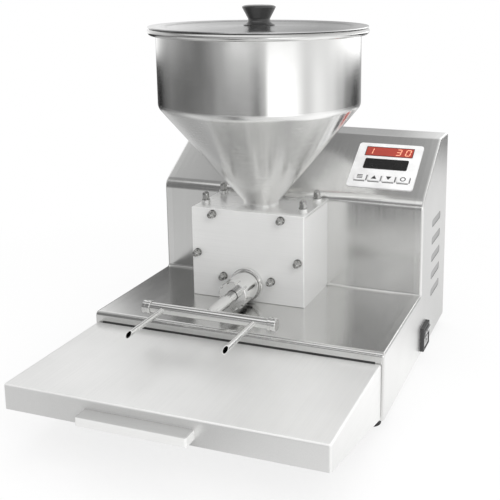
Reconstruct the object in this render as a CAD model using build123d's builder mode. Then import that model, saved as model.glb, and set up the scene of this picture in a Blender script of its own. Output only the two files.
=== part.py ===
"""Pastry filling machine: hopper, gear pump, cross tube with two needles and a pull-out shelf.

Millimetres, +Z up. The shelf and the needles face -Y. The origin lies under the middle of the
whole machine, on the surface that the feet stand on.
"""

import os
from math import acos, atan2, cos, pi, radians, sin, tan

from build123d import *

os.makedirs("parts", exist_ok=True)

# Clearances
fixed_clearance = 0.02
running_clearance = 0.05
moving_gap = 0.3
hole_play = 0.25

# Housing
body_width = 350.0
body_depth = 480.0
base_depth = 315.0
housing_depth = 142.0
top_depth = 47.0
deck_height = 76.0
slope_low_height = 193.0
body_height = 255.0
sheet = 1.5
edge_radius = 3.0
deck_bend = 5.0
inner_bend = 3.0
slope_low_bend = 16.0
slope_top_bend = 8.0
seam_inset = 10.0
bottom_lip = 28.0
rear_lip = 14.0

# Vent slots in the right side
vent_count = 5
vent_length = 52.0
vent_height = 9.8
vent_pitch = 23.2
vent_low_height = 60.0
vent_rear_inset = 37.0

# Feet and bottom plate
foot_height = 12.0
foot_radius = 13.0
foot_taper = 2.0
foot_inset = 19.0
foot_sink = 6.0
foot_screw_radius = 2.5
foot_screw_head_radius = 5.0
foot_screw_head_height = 3.0
foot_screw_tail = 4.0
bottom_plate_thickness = 2.0
bottom_plate_margin = 6.0

# Rear panel and mains inlet
rear_panel_margin = 1.5
rear_screw_radius = 2.0
rear_screw_head_radius = 3.6
rear_screw_head_height = 2.0
rear_screw_tail = 4.0
rear_screw_edge = 0.8
rear_screw_cross_length = 4.0
rear_screw_cross_width = 0.9
rear_screw_cross_depth = 1.1
rear_screw_side_inset = 9.0
rear_screw_end_inset = 22.0
inlet_side_inset = 70.0
inlet_axis_height = 46.0
inlet_flange_width = 46.0
inlet_flange_height = 25.0
inlet_flange_thickness = 2.5
inlet_width = 28.0
inlet_height = 20.0
inlet_depth = 24.0
inlet_wall = 2.0
inlet_socket_depth = 17.0
inlet_pin_width = 2.0
inlet_pin_height = 4.0
inlet_pin_length = 9.0
inlet_pin_spacing = 7.0

# Shelf, its rails and its pull
shelf_step = 12.0
shelf_side_gap = 3.0
shelf_rear_gap = 2.0
shelf_front_height = 27.0
shelf_rear_clearance = 3.0
shelf_sheet = 1.5
shelf_edge = 2.5
rail_width = 16.0
rail_height = 8.0
rail_length = 120.0
rail_spacing = 200.0
guide_wall = 2.0
guide_length = 60.0
pull_width = 118.0
pull_reach = 16.0
pull_lip = 10.0
pull_drop = 10.0
pull_sheet = 1.5
pull_edge = 2.0

# Pump block and gears
pump_offset = -19.5
pump_width = 145.0
pump_height = 111.5
pump_body_depth = 75.5
pump_edge = 1.5
cover_thickness = 8.5
cover_edge = 1.0
gear_teeth = 12
gear_module = 4.0
gear_pressure_angle = 25.0
gear_addendum = 1.0
gear_dedendum = 1.2
gear_backlash = 0.3
gear_width = 60.0
gear_end_play = 0.2
gear_axis_height = 64.0
inlet_port_radius = 17.0
inlet_port_overlap = 10.0
outlet_pocket_width = 24.0
outlet_pocket_depth = 30.0
seal_offset = 1.5
seal_width = 2.5
seal_depth = 2.0
shaft_radius = 8.0
shaft_end_gap = 0.5
bush_wall = 3.0
front_bush_length = 6.0
rear_bush_length = 8.0
shaft_seal_radius = 13.0
shaft_seal_thickness = 6.0

# Studs and dome nuts: offset from the pump's middle and height over the deck
stud_radius = 2.5
stud_depth = 12.0
cover_stud_places = [(44.0, 105.0), (65.0, 55.0), (31.0, 28.5)]
nut_across_flats = 8.0
nut_hex_height = 4.5
nut_dome_height = 5.5
nut_thread_depth = 7.0
washer_radius = 5.0
washer_thickness = 1.0

# Pump mounting plate behind the housing's front
mount_plate_width = 130.0
mount_plate_height = 84.0
mount_plate_thickness = 6.0
mount_screw_spread_x = 104.0
mount_screw_spread_z = 60.0
mount_screw_radius = 3.0
mount_screw_depth = 10.0
mount_screw_head_radius = 5.0
mount_screw_head_height = 5.0
shaft_hole_play = 4.0

# Drive behind the pump
coupling_radius = 17.0
coupling_hub_length = 14.0
coupling_jaw_length = 9.0
coupling_jaws = 3
coupling_jaw_angle = 34.0
coupling_core_radius = 9.0
coupling_front_gap = 4.0
coupling_gap = 0.5
gearbox_width = 70.0
gearbox_depth = 58.0
gearbox_height = 84.0
gearbox_edge = 5.0
gearbox_front_gap = 3.0
motor_radius = 30.0
motor_length = 105.0
motor_flange_radius = 33.0
motor_flange_length = 8.0
motor_edge = 4.0
bracket_sheet = 4.0
bracket_foot = 16.0
supply_width = 110.0
supply_depth = 80.0
supply_height = 40.0
supply_side_inset = 36.0
supply_front_gap = 20.0

# Outlet union, cross tube and needles
nozzle_height = 22.0
spigot_flange_radius = 20.5
spigot_flange_thickness = 5.0
spigot_radius = 13.0
spigot_length = 24.0
spigot_neck_radius = 12.0
spigot_bore_radius = 7.0
union_seal_thickness = 2.0
stem_radius = 6.5
stem_bore_radius = 4.5
stem_collar_radius = 12.6
stem_collar_thickness = 5.0
union_radius = 17.5
union_rear_gap = 1.0
union_lip_thickness = 7.0
union_slots = 10
union_slot_width = 3.4
union_slot_depth = 2.6
union_slot_length = 9.0
union_edge = 1.2
manifold_reach = 103.0
manifold_length = 160.0
tube_radius = 6.0
tube_bore_radius = 4.5
cap_radius = 7.4
cap_length = 9.5
cap_end = 2.0
cap_edge = 0.8
cap_groove_width = 2.4
cap_groove_depth = 0.6
needle_spacing = 110.0
needle_length = 77.0
needle_radius = 3.1
needle_bore_radius = 2.5
needle_bevel = 55.0

# Hopper and lid
gasket_thickness = 0.5
gasket_margin = 1.0
hopper_flange_thickness = 2.5
hopper_stud_spread_x = 127.0
hopper_stud_spread_y = 50.0
hopper_boss_radius = 5.5
hopper_boss_height = 4.0
hopper_wall = 1.5
hopper_neck_radius = 22.0
hopper_neck_height = 3.0
hopper_cone_height = 122.5
hopper_cylinder_height = 87.7
hopper_radius = 121.0
hopper_weld_rise = 5.0
hopper_knuckle = 10.0
hopper_neck_bend = 4.0
rim_bead_radius = 4.2
rim_bead_offset = 5.0
rim_fold_height = 4.0
lid_radius = 129.5
lid_sheet = 1.2
lid_step_radius = 112.0
lid_step_run = 4.0
lid_sink = 1.0
lid_crown = 1.0
lid_seat_radius = 21.0
lid_bend = 2.0
lid_tab_count = 4
lid_tab_width = 18.0
lid_tab_depth = 5.0
lid_tab_gap = 2.5
knob_height = 23.5
knob_base_radius = 18.5
knob_base_height = 1.0
knob_neck_radius = 13.0
knob_neck_height = 8.0
knob_top_radius = 19.8
knob_top_height = 21.0
knob_rim_height = 1.0
knob_foot_lean = (-0.94, 0.33)
knob_crown_lean = (-0.80, 0.60)
knob_screw_radius = 2.5
knob_screw_depth = 10.0
knob_screw_head_radius = 5.0
knob_screw_head_height = 2.5

# Control panel on the slope
panel_width = 85.0
panel_height = 78.0
panel_side_margin = 18.0
panel_low_margin = 18.6
panel_thickness = 1.2
panel_corner = 4.0
window_width = 63.0
window_height = 16.5
window_rise = 24.2
window_proud = 0.3
window_corner = 2.0
label_width = 57.0
label_height = 18.0
label_rise = 2.0
label_thickness = 0.4
label_corner = 2.0
key_count = 4
key_pitch = 18.5
key_width = 15.5
key_height = 10.5
key_drop = 23.0
key_corner = 1.5
key_proud = 1.8
key_edge = 0.6
key_travel = 1.2
key_flange = 1.2
key_flange_thickness = 1.2
key_stem_radius = 2.5
key_stem_length = 2.0
board_depth = 10.5
board_thickness = 1.6
board_margin = 3.0
board_post_radius = 3.0
board_post_inset = 6.0
tact_size = 6.0
tact_clearance = 0.4
display_width = 58.0
display_height = 13.0
display_gap = 0.3
cutout_play = 1.0

# Rocker switch on the right side
switch_rear_inset = 127.5
switch_axis_height = 19.0
switch_flange_depth = 32.0
switch_flange_height = 30.5
switch_flange_proud = 5.0
switch_flange_edge = 1.0
switch_body_depth = 28.4
switch_body_height = 27.4
switch_body_reach = 20.0
switch_cavity_depth = 25.4
switch_cavity_height = 25.2
switch_cavity_reach = 9.0
rocker_depth = 24.6
rocker_height = 22.4
rocker_tilt = 7.0
rocker_face = 5.4
rocker_bottom = 3.5
rocker_pivot_sink = 6.0
rocker_pin_radius = 1.2
rocker_pin_reach = 0.9

# Levels and stations worked out from the driving sizes
rear_proud = sheet + inlet_flange_thickness
overall_depth = pull_reach + body_depth + rear_proud
shelf_front_y = pull_reach - overall_depth / 2
rear_y = shelf_front_y + body_depth
base_front_y = rear_y - base_depth
housing_front_y = rear_y - housing_depth
slope_top_y = rear_y - top_depth
base_bottom_z = foot_height + bottom_plate_thickness
deck_z = base_bottom_z + deck_height
slope_low_z = base_bottom_z + slope_low_height
body_top_z = base_bottom_z + body_height
half_width = body_width / 2

pump_x = pump_offset
pump_rear_y = housing_front_y
pump_front_y = pump_rear_y - pump_body_depth
cover_front_y = pump_front_y - cover_thickness
cover_top_z = deck_z + pump_height
pump_top_z = cover_top_z - hopper_flange_thickness - gasket_thickness
gear_z = deck_z + gear_axis_height
gear_pitch_radius = gear_teeth * gear_module / 2
gear_tip_radius = gear_pitch_radius + gear_addendum * gear_module
chamber_radius = gear_tip_radius + moving_gap
chamber_depth = gear_width + 2 * gear_end_play
chamber_rear_y = pump_front_y + chamber_depth
drive_x = pump_x - gear_pitch_radius
idler_x = pump_x + gear_pitch_radius
bush_radius = shaft_radius + bush_wall
nozzle_z = deck_z + nozzle_height
hopper_y = (pump_front_y + pump_rear_y) / 2

mount_plate_y = housing_front_y + sheet
coupling_front_y = mount_plate_y + mount_plate_thickness + mount_screw_head_height + coupling_front_gap
coupling_length = 2 * coupling_hub_length + coupling_jaw_length + 2 * coupling_gap
gearbox_front_y = coupling_front_y + coupling_length + gearbox_front_gap

slope_angle = atan2(body_top_z - slope_low_z, slope_top_y - housing_front_y)
slope_up = Vector(0, cos(slope_angle), sin(slope_angle))
slope_out = Vector(0, -sin(slope_angle), cos(slope_angle))
panel_x = half_width - panel_side_margin - panel_width / 2
panel_rise = panel_low_margin + panel_height / 2
panel_centre = Vector(panel_x, housing_front_y, slope_low_z) + slope_up * panel_rise
panel_plane = Plane(origin=panel_centre, x_dir=(1, 0, 0), z_dir=slope_out)
side_plane = Plane(
    origin=(half_width, rear_y - switch_rear_inset, base_bottom_z + switch_axis_height),
    x_dir=(0, 1, 0),
    z_dir=(1, 0, 0),
)


def facing_front(x, y, z):
    """Plane across the pump's axis: its X is right, its Y is up and its normal points to the front."""
    return Plane(origin=(x, y, z), x_dir=(1, 0, 0), z_dir=(0, -1, 0))


def facing_right(x, y, z):
    """Plane across the machine's width: its X is to the rear, its Y is up and its normal points right."""
    return Plane(origin=(x, y, z), x_dir=(0, 1, 0), z_dir=(1, 0, 0))


def write(builder, name):
    """Labels a finished piece and writes it under the same name."""
    builder.part.label = name
    export_step(builder.part, f"parts/{name}.step")


# Housing shell, cut into its welded sheets
def side_outline(inset):
    """Side view of the housing, drawn in by inset."""
    with BuildSketch(Plane.YZ) as outline:
        with BuildLine():
            FilletPolyline(
                (base_front_y, base_bottom_z),
                (base_front_y, deck_z),
                (housing_front_y, deck_z),
                (housing_front_y, slope_low_z),
                (slope_top_y, body_top_z),
                (rear_y, body_top_z),
                (rear_y, base_bottom_z),
                radius=[0, deck_bend, inner_bend, slope_low_bend, slope_top_bend, 0, 0],
                close=True,
            )
        make_face()
        if inset:
            offset(amount=-inset, kind=Kind.INTERSECTION)
    return outline.sketch


shell_outline = side_outline(0)
shell_hollow = side_outline(sheet)


def on_long_edge(edge):
    """True for the outline edges of a side that get rounded: all but the rear and the bottom."""
    middle = edge.center()
    return middle.Y < rear_y - sheet and middle.Z > base_bottom_z + sheet


with BuildPart() as shell:
    extrude(shell_outline, amount=half_width, both=True)
    side_edges = shell.faces().sort_by(Axis.X)[0].edges() + shell.faces().sort_by(Axis.X)[-1].edges()
    fillet([edge for edge in side_edges if on_long_edge(edge)], radius=edge_radius)
    extrude(shell_hollow, amount=half_width - sheet, both=True, mode=Mode.SUBTRACT)
    with Locations((0, base_front_y + sheet, base_bottom_z)):
        Box(
            body_width - 2 * sheet,
            base_depth - sheet,
            sheet,
            align=(Align.CENTER, Align.MIN, Align.MIN),
            mode=Mode.SUBTRACT,
        )
    with Locations((0, rear_y, base_bottom_z)):
        Box(
            body_width - 2 * sheet,
            sheet,
            body_height - sheet,
            align=(Align.CENTER, Align.MAX, Align.MIN),
            mode=Mode.SUBTRACT,
        )

seam_x = half_width - seam_inset
deck_seam_y = housing_front_y - inner_bend
foot_places = [
    (side * (half_width - foot_inset), y)
    for side in (-1, 1)
    for y in (base_front_y + foot_inset, rear_y - foot_inset)
]
rear_screw_places = [
    (side * (half_width - rear_screw_side_inset), z)
    for side in (-1, 1)
    for z in (
        base_bottom_z + rear_screw_end_inset,
        base_bottom_z + body_height / 2,
        body_top_z - rear_screw_end_inset,
    )
]


def side_panel(side):
    """One side of the housing, with its rounded edge and the lips that the plates screw to."""
    keep = Keep.TOP if side > 0 else Keep.BOTTOM
    inner_x = side * (half_width - sheet)
    with BuildPart() as panel:
        add(shell.part)
        split(bisect_by=Plane.YZ.offset(side * seam_x), keep=keep)
        toward_middle = Align.MAX if side > 0 else Align.MIN
        with Locations((inner_x, base_front_y + sheet, base_bottom_z)):
            Box(
                bottom_lip - sheet,
                base_depth - sheet,
                sheet,
                align=(toward_middle, Align.MIN, Align.MIN),
            )
        with Locations((inner_x, rear_y, base_bottom_z)):
            Box(
                rear_lip,
                sheet,
                body_height - sheet,
                align=(toward_middle, Align.MAX, Align.MIN),
            )
        with Locations([(x, y, base_bottom_z) for x, y in foot_places if x * side > 0]):
            Cylinder(foot_screw_radius + fixed_clearance, 2 * sheet, mode=Mode.SUBTRACT)
        with Locations([facing_front(x, rear_y, z) for x, z in rear_screw_places if x * side > 0]):
            Cylinder(rear_screw_radius + fixed_clearance, 2 * sheet, mode=Mode.SUBTRACT)
    return panel


side_panel_left = side_panel(-1)
write(side_panel_left, "side_panel_left")

right_wall = side_panel(1)
vent_middle_y = rear_y - vent_rear_inset - vent_length / 2
vent_middle_z = base_bottom_z + vent_low_height + (vent_count - 1) * vent_pitch / 2
with BuildPart() as side_panel_right:
    add(right_wall.part)
    with BuildSketch(facing_right(half_width, vent_middle_y, vent_middle_z)):
        with GridLocations(0, vent_pitch, 1, vent_count):
            SlotOverall(vent_length, vent_height)
    extrude(amount=-2 * sheet, mode=Mode.SUBTRACT)
    with BuildSketch(side_plane):
        Rectangle(switch_body_depth + 2 * hole_play, switch_body_height + 2 * hole_play)
    extrude(amount=-2 * sheet, mode=Mode.SUBTRACT)
write(side_panel_right, "side_panel_right")

with BuildPart() as deck_cover:
    add(shell.part)
    split(bisect_by=Plane.YZ.offset(seam_x), keep=Keep.BOTTOM)
    split(bisect_by=Plane.YZ.offset(-seam_x), keep=Keep.TOP)
    split(bisect_by=Plane.XZ.offset(-deck_seam_y), keep=Keep.TOP)
    with Locations((0, base_front_y + sheet, base_bottom_z)):
        Box(
            body_width - 2 * bottom_lip,
            bottom_lip - sheet,
            sheet,
            align=(Align.CENTER, Align.MIN, Align.MIN),
        )
write(deck_cover, "deck_cover")

mount_screw_plane = facing_front(pump_x, housing_front_y, gear_z)
key_hole_width = key_width + 2 * moving_gap
key_hole_height = key_height + 2 * moving_gap
with BuildPart() as housing_cover:
    add(shell.part)
    split(bisect_by=Plane.YZ.offset(seam_x), keep=Keep.BOTTOM)
    split(bisect_by=Plane.YZ.offset(-seam_x), keep=Keep.TOP)
    split(bisect_by=Plane.XZ.offset(-deck_seam_y), keep=Keep.BOTTOM)
    with BuildSketch(mount_screw_plane):
        with Locations((drive_x - pump_x, 0)):
            Circle(shaft_radius + shaft_hole_play)
        with GridLocations(mount_screw_spread_x, mount_screw_spread_z, 2, 2):
            Circle(mount_screw_radius + hole_play)
    extrude(amount=-2 * sheet, mode=Mode.SUBTRACT)
    with BuildSketch(panel_plane):
        with Locations((0, window_rise)):
            Rectangle(display_width + 2 * cutout_play, display_height + 2 * cutout_play)
        with Locations((0, -key_drop)):
            with GridLocations(key_pitch, 0, key_count, 1):
                RectangleRounded(key_hole_width, key_hole_height, key_corner)
    extrude(amount=-2 * sheet, mode=Mode.SUBTRACT)
write(housing_cover, "housing_cover")

# Bottom plate and feet
with BuildPart() as bottom_plate:
    with Locations((0, rear_y, foot_height)):
        Box(
            body_width - 2 * bottom_plate_margin,
            base_depth - bottom_plate_margin,
            bottom_plate_thickness,
            align=(Align.CENTER, Align.MAX, Align.MIN),
        )
    with Locations([(x, y, foot_height) for x, y in foot_places]):
        Cylinder(foot_screw_radius + fixed_clearance, 3 * bottom_plate_thickness, mode=Mode.SUBTRACT)
write(bottom_plate, "bottom_plate")

with BuildPart() as feet:
    with Locations([(x, y, 0) for x, y in foot_places]):
        Cone(
            foot_radius - foot_taper,
            foot_radius,
            foot_height,
            align=(Align.CENTER, Align.CENTER, Align.MIN),
        )
        Cylinder(
            foot_screw_head_radius + hole_play,
            foot_sink,
            align=(Align.CENTER, Align.CENTER, Align.MIN),
            mode=Mode.SUBTRACT,
        )
        Cylinder(
            foot_screw_radius + fixed_clearance,
            foot_height,
            align=(Align.CENTER, Align.CENTER, Align.MIN),
            mode=Mode.SUBTRACT,
        )
write(feet, "feet")

foot_screw_length = base_bottom_z + sheet + foot_screw_tail - foot_sink
with BuildPart() as foot_screws:
    with Locations([(x, y, foot_sink) for x, y in foot_places]):
        Cylinder(
            foot_screw_head_radius,
            foot_screw_head_height,
            align=(Align.CENTER, Align.CENTER, Align.MAX),
        )
        Cylinder(
            foot_screw_radius,
            foot_screw_length,
            align=(Align.CENTER, Align.CENTER, Align.MIN),
        )
write(foot_screws, "foot_screws")

# Rear panel, its screws and the mains inlet
inlet_x = half_width - inlet_side_inset
inlet_plane = facing_front(inlet_x, rear_y + sheet, base_bottom_z + inlet_axis_height)
with BuildPart() as rear_panel:
    with Locations((0, rear_y, base_bottom_z)):
        Box(
            body_width - 2 * rear_panel_margin,
            sheet,
            body_height - rear_panel_margin,
            align=(Align.CENTER, Align.MIN, Align.MIN),
        )
    with Locations([facing_front(x, rear_y, z) for x, z in rear_screw_places]):
        Cylinder(rear_screw_radius + fixed_clearance, 4 * sheet, mode=Mode.SUBTRACT)
    with BuildSketch(inlet_plane):
        Rectangle(inlet_width + 2 * hole_play, inlet_height + 2 * hole_play)
    extrude(amount=2 * sheet, both=True, mode=Mode.SUBTRACT)
write(rear_panel, "rear_panel")

with BuildPart() as rear_panel_screws:
    with Locations([facing_front(x, rear_y + sheet, z) for x, z in rear_screw_places]):
        Cylinder(
            rear_screw_head_radius,
            rear_screw_head_height,
            align=(Align.CENTER, Align.CENTER, Align.MAX),
        )
        Cylinder(
            rear_screw_radius,
            2 * sheet + rear_screw_tail,
            align=(Align.CENTER, Align.CENTER, Align.MIN),
        )
    fillet(rear_panel_screws.edges().filter_by(GeomType.CIRCLE).group_by(Axis.Y)[-1], radius=rear_screw_edge)
    screw_face_y = rear_y + sheet + rear_screw_head_height
    with Locations([facing_front(x, screw_face_y, z) for x, z in rear_screw_places]):
        for turn in (0, 90):
            Box(
                rear_screw_cross_length,
                rear_screw_cross_width,
                rear_screw_cross_depth,
                rotation=(0, 0, turn),
                align=(Align.CENTER, Align.CENTER, Align.MIN),
                mode=Mode.SUBTRACT,
            )
write(rear_panel_screws, "rear_panel_screws")

with BuildPart() as power_inlet:
    with BuildSketch(inlet_plane):
        RectangleRounded(inlet_flange_width, inlet_flange_height, inlet_wall)
    extrude(amount=-inlet_flange_thickness)
    with BuildSketch(inlet_plane):
        Rectangle(inlet_width, inlet_height)
    extrude(amount=inlet_depth)
    with BuildSketch(inlet_plane.offset(-inlet_flange_thickness)):
        Rectangle(inlet_width - 2 * inlet_wall, inlet_height - 2 * inlet_wall)
    extrude(amount=inlet_socket_depth, mode=Mode.SUBTRACT)
    with BuildSketch(inlet_plane.offset(inlet_socket_depth - inlet_flange_thickness)):
        with GridLocations(inlet_pin_spacing, 0, 3, 1):
            Rectangle(inlet_pin_width, inlet_pin_height)
    extrude(amount=-inlet_pin_length)
write(power_inlet, "power_inlet")

# Shelf with its guides, the rails that carry it and its pull
shelf_top_z = deck_z - shelf_step
shelf_rear_y = base_front_y - shelf_rear_gap
shelf_width = body_width - 2 * shelf_side_gap
shelf_front_low_z = shelf_top_z - shelf_front_height
shelf_rear_low_z = base_bottom_z + shelf_rear_clearance
rail_top_z = shelf_top_z - shelf_sheet - moving_gap
rail_places = (-rail_spacing / 2, rail_spacing / 2)
slot_width = rail_width + 2 * moving_gap
slot_height = rail_height + 2 * moving_gap

with BuildPart() as drip_tray:
    with BuildSketch(Plane.YZ):
        with BuildLine():
            Polyline(
                (shelf_front_y, shelf_top_z),
                (shelf_front_y, shelf_front_low_z),
                (shelf_rear_y, shelf_rear_low_z),
                (shelf_rear_y, shelf_top_z),
                close=True,
            )
        make_face()
    extrude(amount=shelf_width / 2, both=True)
    front_edges = drip_tray.faces().sort_by(Axis.Y)[0].edges().filter_by(Axis.Z)
    top_edges = drip_tray.faces().sort_by(Axis.Z)[-1].edges()
    fillet(front_edges + top_edges.filter_by(Axis.Y) + [top_edges.sort_by(Axis.Y)[0]], radius=shelf_edge)
    with Locations((0, shelf_front_y + shelf_sheet, shelf_top_z - shelf_sheet)):
        Box(
            shelf_width - 2 * shelf_sheet,
            body_depth,
            body_height,
            align=(Align.CENTER, Align.MIN, Align.MAX),
            mode=Mode.SUBTRACT,
        )
    with Locations([(x, shelf_rear_y, shelf_top_z - shelf_sheet) for x in rail_places]):
        Box(
            slot_width + 2 * guide_wall,
            guide_length,
            slot_height + guide_wall,
            align=(Align.CENTER, Align.MAX, Align.MAX),
        )
        Box(
            slot_width,
            guide_length,
            slot_height,
            align=(Align.CENTER, Align.MAX, Align.MAX),
            mode=Mode.SUBTRACT,
        )
write(drip_tray, "drip_tray")

with BuildPart() as tray_rails:
    with Locations([(x, base_front_y, rail_top_z) for x in rail_places]):
        Box(
            rail_width,
            rail_length,
            rail_height,
            align=(Align.CENTER, Align.MAX, Align.MAX),
        )
write(tray_rails, "tray_rails")

with BuildPart() as tray_handle:
    with Locations((pump_x, shelf_front_y, shelf_top_z - pull_drop)):
        Box(
            pull_width,
            pull_reach,
            pull_lip,
            align=(Align.CENTER, Align.MAX, Align.MAX),
        )
    outer_faces = tray_handle.faces()
    lip_face = outer_faces.sort_by(Axis.Y)[0]
    top_face = outer_faces.sort_by(Axis.Z)[-1]
    fillet(
        lip_face.edges().filter_by(Axis.Z)
        + top_face.edges().filter_by(Axis.Y)
        + [top_face.edges().sort_by(Axis.Y)[0]],
        radius=pull_edge,
    )
    with Locations((pump_x, shelf_front_y, shelf_top_z - pull_drop - pull_sheet)):
        Box(
            pull_width - 2 * pull_sheet,
            pull_reach - pull_sheet,
            pull_lip,
            align=(Align.CENTER, Align.MAX, Align.MAX),
            mode=Mode.SUBTRACT,
        )
write(tray_handle, "tray_handle")

# Pump body and cover
pump_front = facing_front(pump_x, pump_front_y, gear_z)
gear_places = [(-gear_pitch_radius, 0), (gear_pitch_radius, 0)]
pocket_low = nozzle_z - gear_z - outlet_pocket_width / 2
pocket_height = -pocket_low
cover_studs_local = [
    (side * x, deck_z + z - gear_z) for x, z in cover_stud_places for side in (-1, 1)
]
hopper_stud_places = [
    (pump_x + sx * hopper_stud_spread_x / 2, hopper_y + sy * hopper_stud_spread_y / 2)
    for sx in (-1, 1)
    for sy in (-1, 1)
]
hopper_stack = gasket_thickness + hopper_flange_thickness + hopper_boss_height
hopper_stud_depth = stud_depth + cover_thickness - hopper_stack



def wetted_outline(growth):
    """Outline of the gear chamber and the outlet pocket, grown outwards, in the pump's own plane."""
    with BuildSketch() as outline:
        with Locations(gear_places):
            Circle(chamber_radius)
        with Locations((0, pocket_low)):
            Rectangle(outlet_pocket_width, pocket_height, align=(Align.CENTER, Align.MIN))
        offset(amount=growth)
    return outline.sketch


def seal_ring(inner, outer):
    """Closed band around the wetted outline, from inner to outer distance."""
    with BuildSketch(pump_front) as ring:
        add(wetted_outline(outer))
        add(wetted_outline(inner), mode=Mode.SUBTRACT)
    return ring.sketch


seal_groove = seal_ring(seal_offset, seal_offset + seal_width)
seal_band = seal_ring(seal_offset + fixed_clearance, seal_offset + seal_width - fixed_clearance)
mesh_cusp = (chamber_radius**2 - gear_pitch_radius**2) ** 0.5
port_depth = pump_top_z - gear_z - mesh_cusp + inlet_port_overlap
rear_wall = pump_rear_y - chamber_rear_y

with BuildPart() as pump_body:
    with Locations((pump_x, pump_rear_y, deck_z)):
        Box(
            pump_width,
            pump_body_depth,
            pump_top_z - deck_z,
            align=(Align.CENTER, Align.MAX, Align.MIN),
        )
    rear_low_edge = pump_body.faces().sort_by(Axis.Y)[-1].edges().sort_by(Axis.Z)[0]
    chamfer(rear_low_edge, length=inner_bend)
    with BuildSketch(pump_front):
        with Locations(gear_places):
            Circle(chamber_radius)
    extrude(amount=-chamber_depth, mode=Mode.SUBTRACT)
    with BuildSketch(pump_front):
        with Locations((0, pocket_low)):
            Rectangle(outlet_pocket_width, pocket_height, align=(Align.CENTER, Align.MIN))
    extrude(amount=-outlet_pocket_depth, mode=Mode.SUBTRACT)
    extrude(seal_groove, amount=-seal_depth, mode=Mode.SUBTRACT)
    with Locations((pump_x, hopper_y, pump_top_z)):
        Cylinder(
            inlet_port_radius,
            port_depth,
            align=(Align.CENTER, Align.CENTER, Align.MAX),
            mode=Mode.SUBTRACT,
        )
    with Locations([(x, y, pump_top_z) for x, y in hopper_stud_places]):
        Cylinder(stud_radius + fixed_clearance, 2 * hopper_stud_depth, mode=Mode.SUBTRACT)
    with BuildSketch(pump_front):
        with Locations(cover_studs_local):
            Circle(stud_radius + fixed_clearance)
    extrude(amount=-stud_depth, mode=Mode.SUBTRACT)
    with BuildSketch(pump_front.offset(-chamber_depth)):
        with Locations(gear_places):
            Circle(bush_radius + fixed_clearance)
    extrude(amount=-rear_bush_length, mode=Mode.SUBTRACT)
    with BuildSketch(facing_front(drive_x, pump_rear_y, gear_z)):
        Circle(shaft_seal_radius + fixed_clearance)
    extrude(amount=shaft_seal_thickness, mode=Mode.SUBTRACT)
    with BuildSketch(facing_front(drive_x, pump_rear_y, gear_z)):
        Circle(shaft_radius + hole_play)
    extrude(amount=rear_wall, mode=Mode.SUBTRACT)
    with BuildSketch(mount_screw_plane):
        with GridLocations(mount_screw_spread_x, mount_screw_spread_z, 2, 2):
            Circle(mount_screw_radius + fixed_clearance)
    extrude(amount=mount_screw_depth, mode=Mode.SUBTRACT)
write(pump_body, "pump_body")

with BuildPart() as cover_seal:
    extrude(seal_band, amount=-seal_depth)
write(cover_seal, "cover_seal")

with BuildPart() as pump_cover:
    with Locations((pump_x, pump_front_y, deck_z)):
        Box(
            pump_width,
            cover_thickness,
            pump_height,
            align=(Align.CENTER, Align.MAX, Align.MIN),
        )
    corner_edges = pump_cover.edges().filter_by(Axis.Y).group_by(Axis.Z)[-1]
    fillet(corner_edges, radius=pump_edge)
    front_face = pump_cover.faces().sort_by(Axis.Y)[0]
    fillet(front_face.edges(), radius=cover_edge)
    with BuildSketch(pump_front):
        with Locations(gear_places):
            Circle(bush_radius + fixed_clearance)
    extrude(amount=front_bush_length, mode=Mode.SUBTRACT)
    with BuildSketch(pump_front):
        with Locations(cover_studs_local):
            Circle(stud_radius + hole_play)
        with Locations((0, nozzle_z - gear_z)):
            Circle(spigot_neck_radius + fixed_clearance)
    extrude(amount=cover_thickness, mode=Mode.SUBTRACT)
write(pump_cover, "pump_cover")

# Studs, washers and dome nuts
with BuildPart() as nut_shape:
    Cylinder(washer_radius, washer_thickness, align=(Align.CENTER, Align.CENTER, Align.MIN))
    with BuildSketch(Plane.XY.offset(washer_thickness)):
        RegularPolygon(nut_across_flats / 2, 6, major_radius=False)
    extrude(amount=nut_hex_height)
    nut_shoulder_z = washer_thickness + nut_hex_height
    dome_radius = nut_across_flats / 2
    dome_centre_z = nut_shoulder_z + nut_dome_height - dome_radius
    with BuildSketch(Plane.XZ):
        with BuildLine():
            dome_side = Line((dome_radius, nut_shoulder_z), (dome_radius, dome_centre_z))
            dome_top = CenterArc((0, dome_centre_z), dome_radius, 0, 90)
            Polyline(dome_top @ 1, (0, nut_shoulder_z), dome_side @ 0)
        make_face()
    revolve(axis=Axis.Z)
    Cylinder(
        stud_radius + fixed_clearance,
        nut_thread_depth + washer_thickness,
        align=(Align.CENTER, Align.CENTER, Align.MIN),
        mode=Mode.SUBTRACT,
    )

cover_front = facing_front(pump_x, cover_front_y, gear_z)
stud_in_nut = washer_thickness + nut_thread_depth - shaft_end_gap
stud_length = stud_depth + cover_thickness + stud_in_nut
hopper_bottom_z = pump_top_z + gasket_thickness
flange_top_z = hopper_bottom_z + hopper_flange_thickness
boss_top_z = flange_top_z + hopper_boss_height
with BuildPart() as studs:
    with BuildSketch(pump_front.offset(-stud_depth)):
        with Locations(cover_studs_local):
            Circle(stud_radius)
    extrude(amount=stud_length)
    with Locations([(x, y, pump_top_z - hopper_stud_depth) for x, y in hopper_stud_places]):
        Cylinder(stud_radius, stud_length, align=(Align.CENTER, Align.CENTER, Align.MIN))
write(studs, "studs")

with BuildPart() as dome_nuts:
    with Locations(cover_front):
        with Locations(cover_studs_local):
            add(nut_shape.part)
    with Locations([(x, y, boss_top_z) for x, y in hopper_stud_places]):
        add(nut_shape.part)
write(dome_nuts, "dome_nuts")

# Gears, shafts, bushes and shaft seal
def involute(angle):
    """Involute of an angle in radians."""
    return tan(angle) - angle


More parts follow.
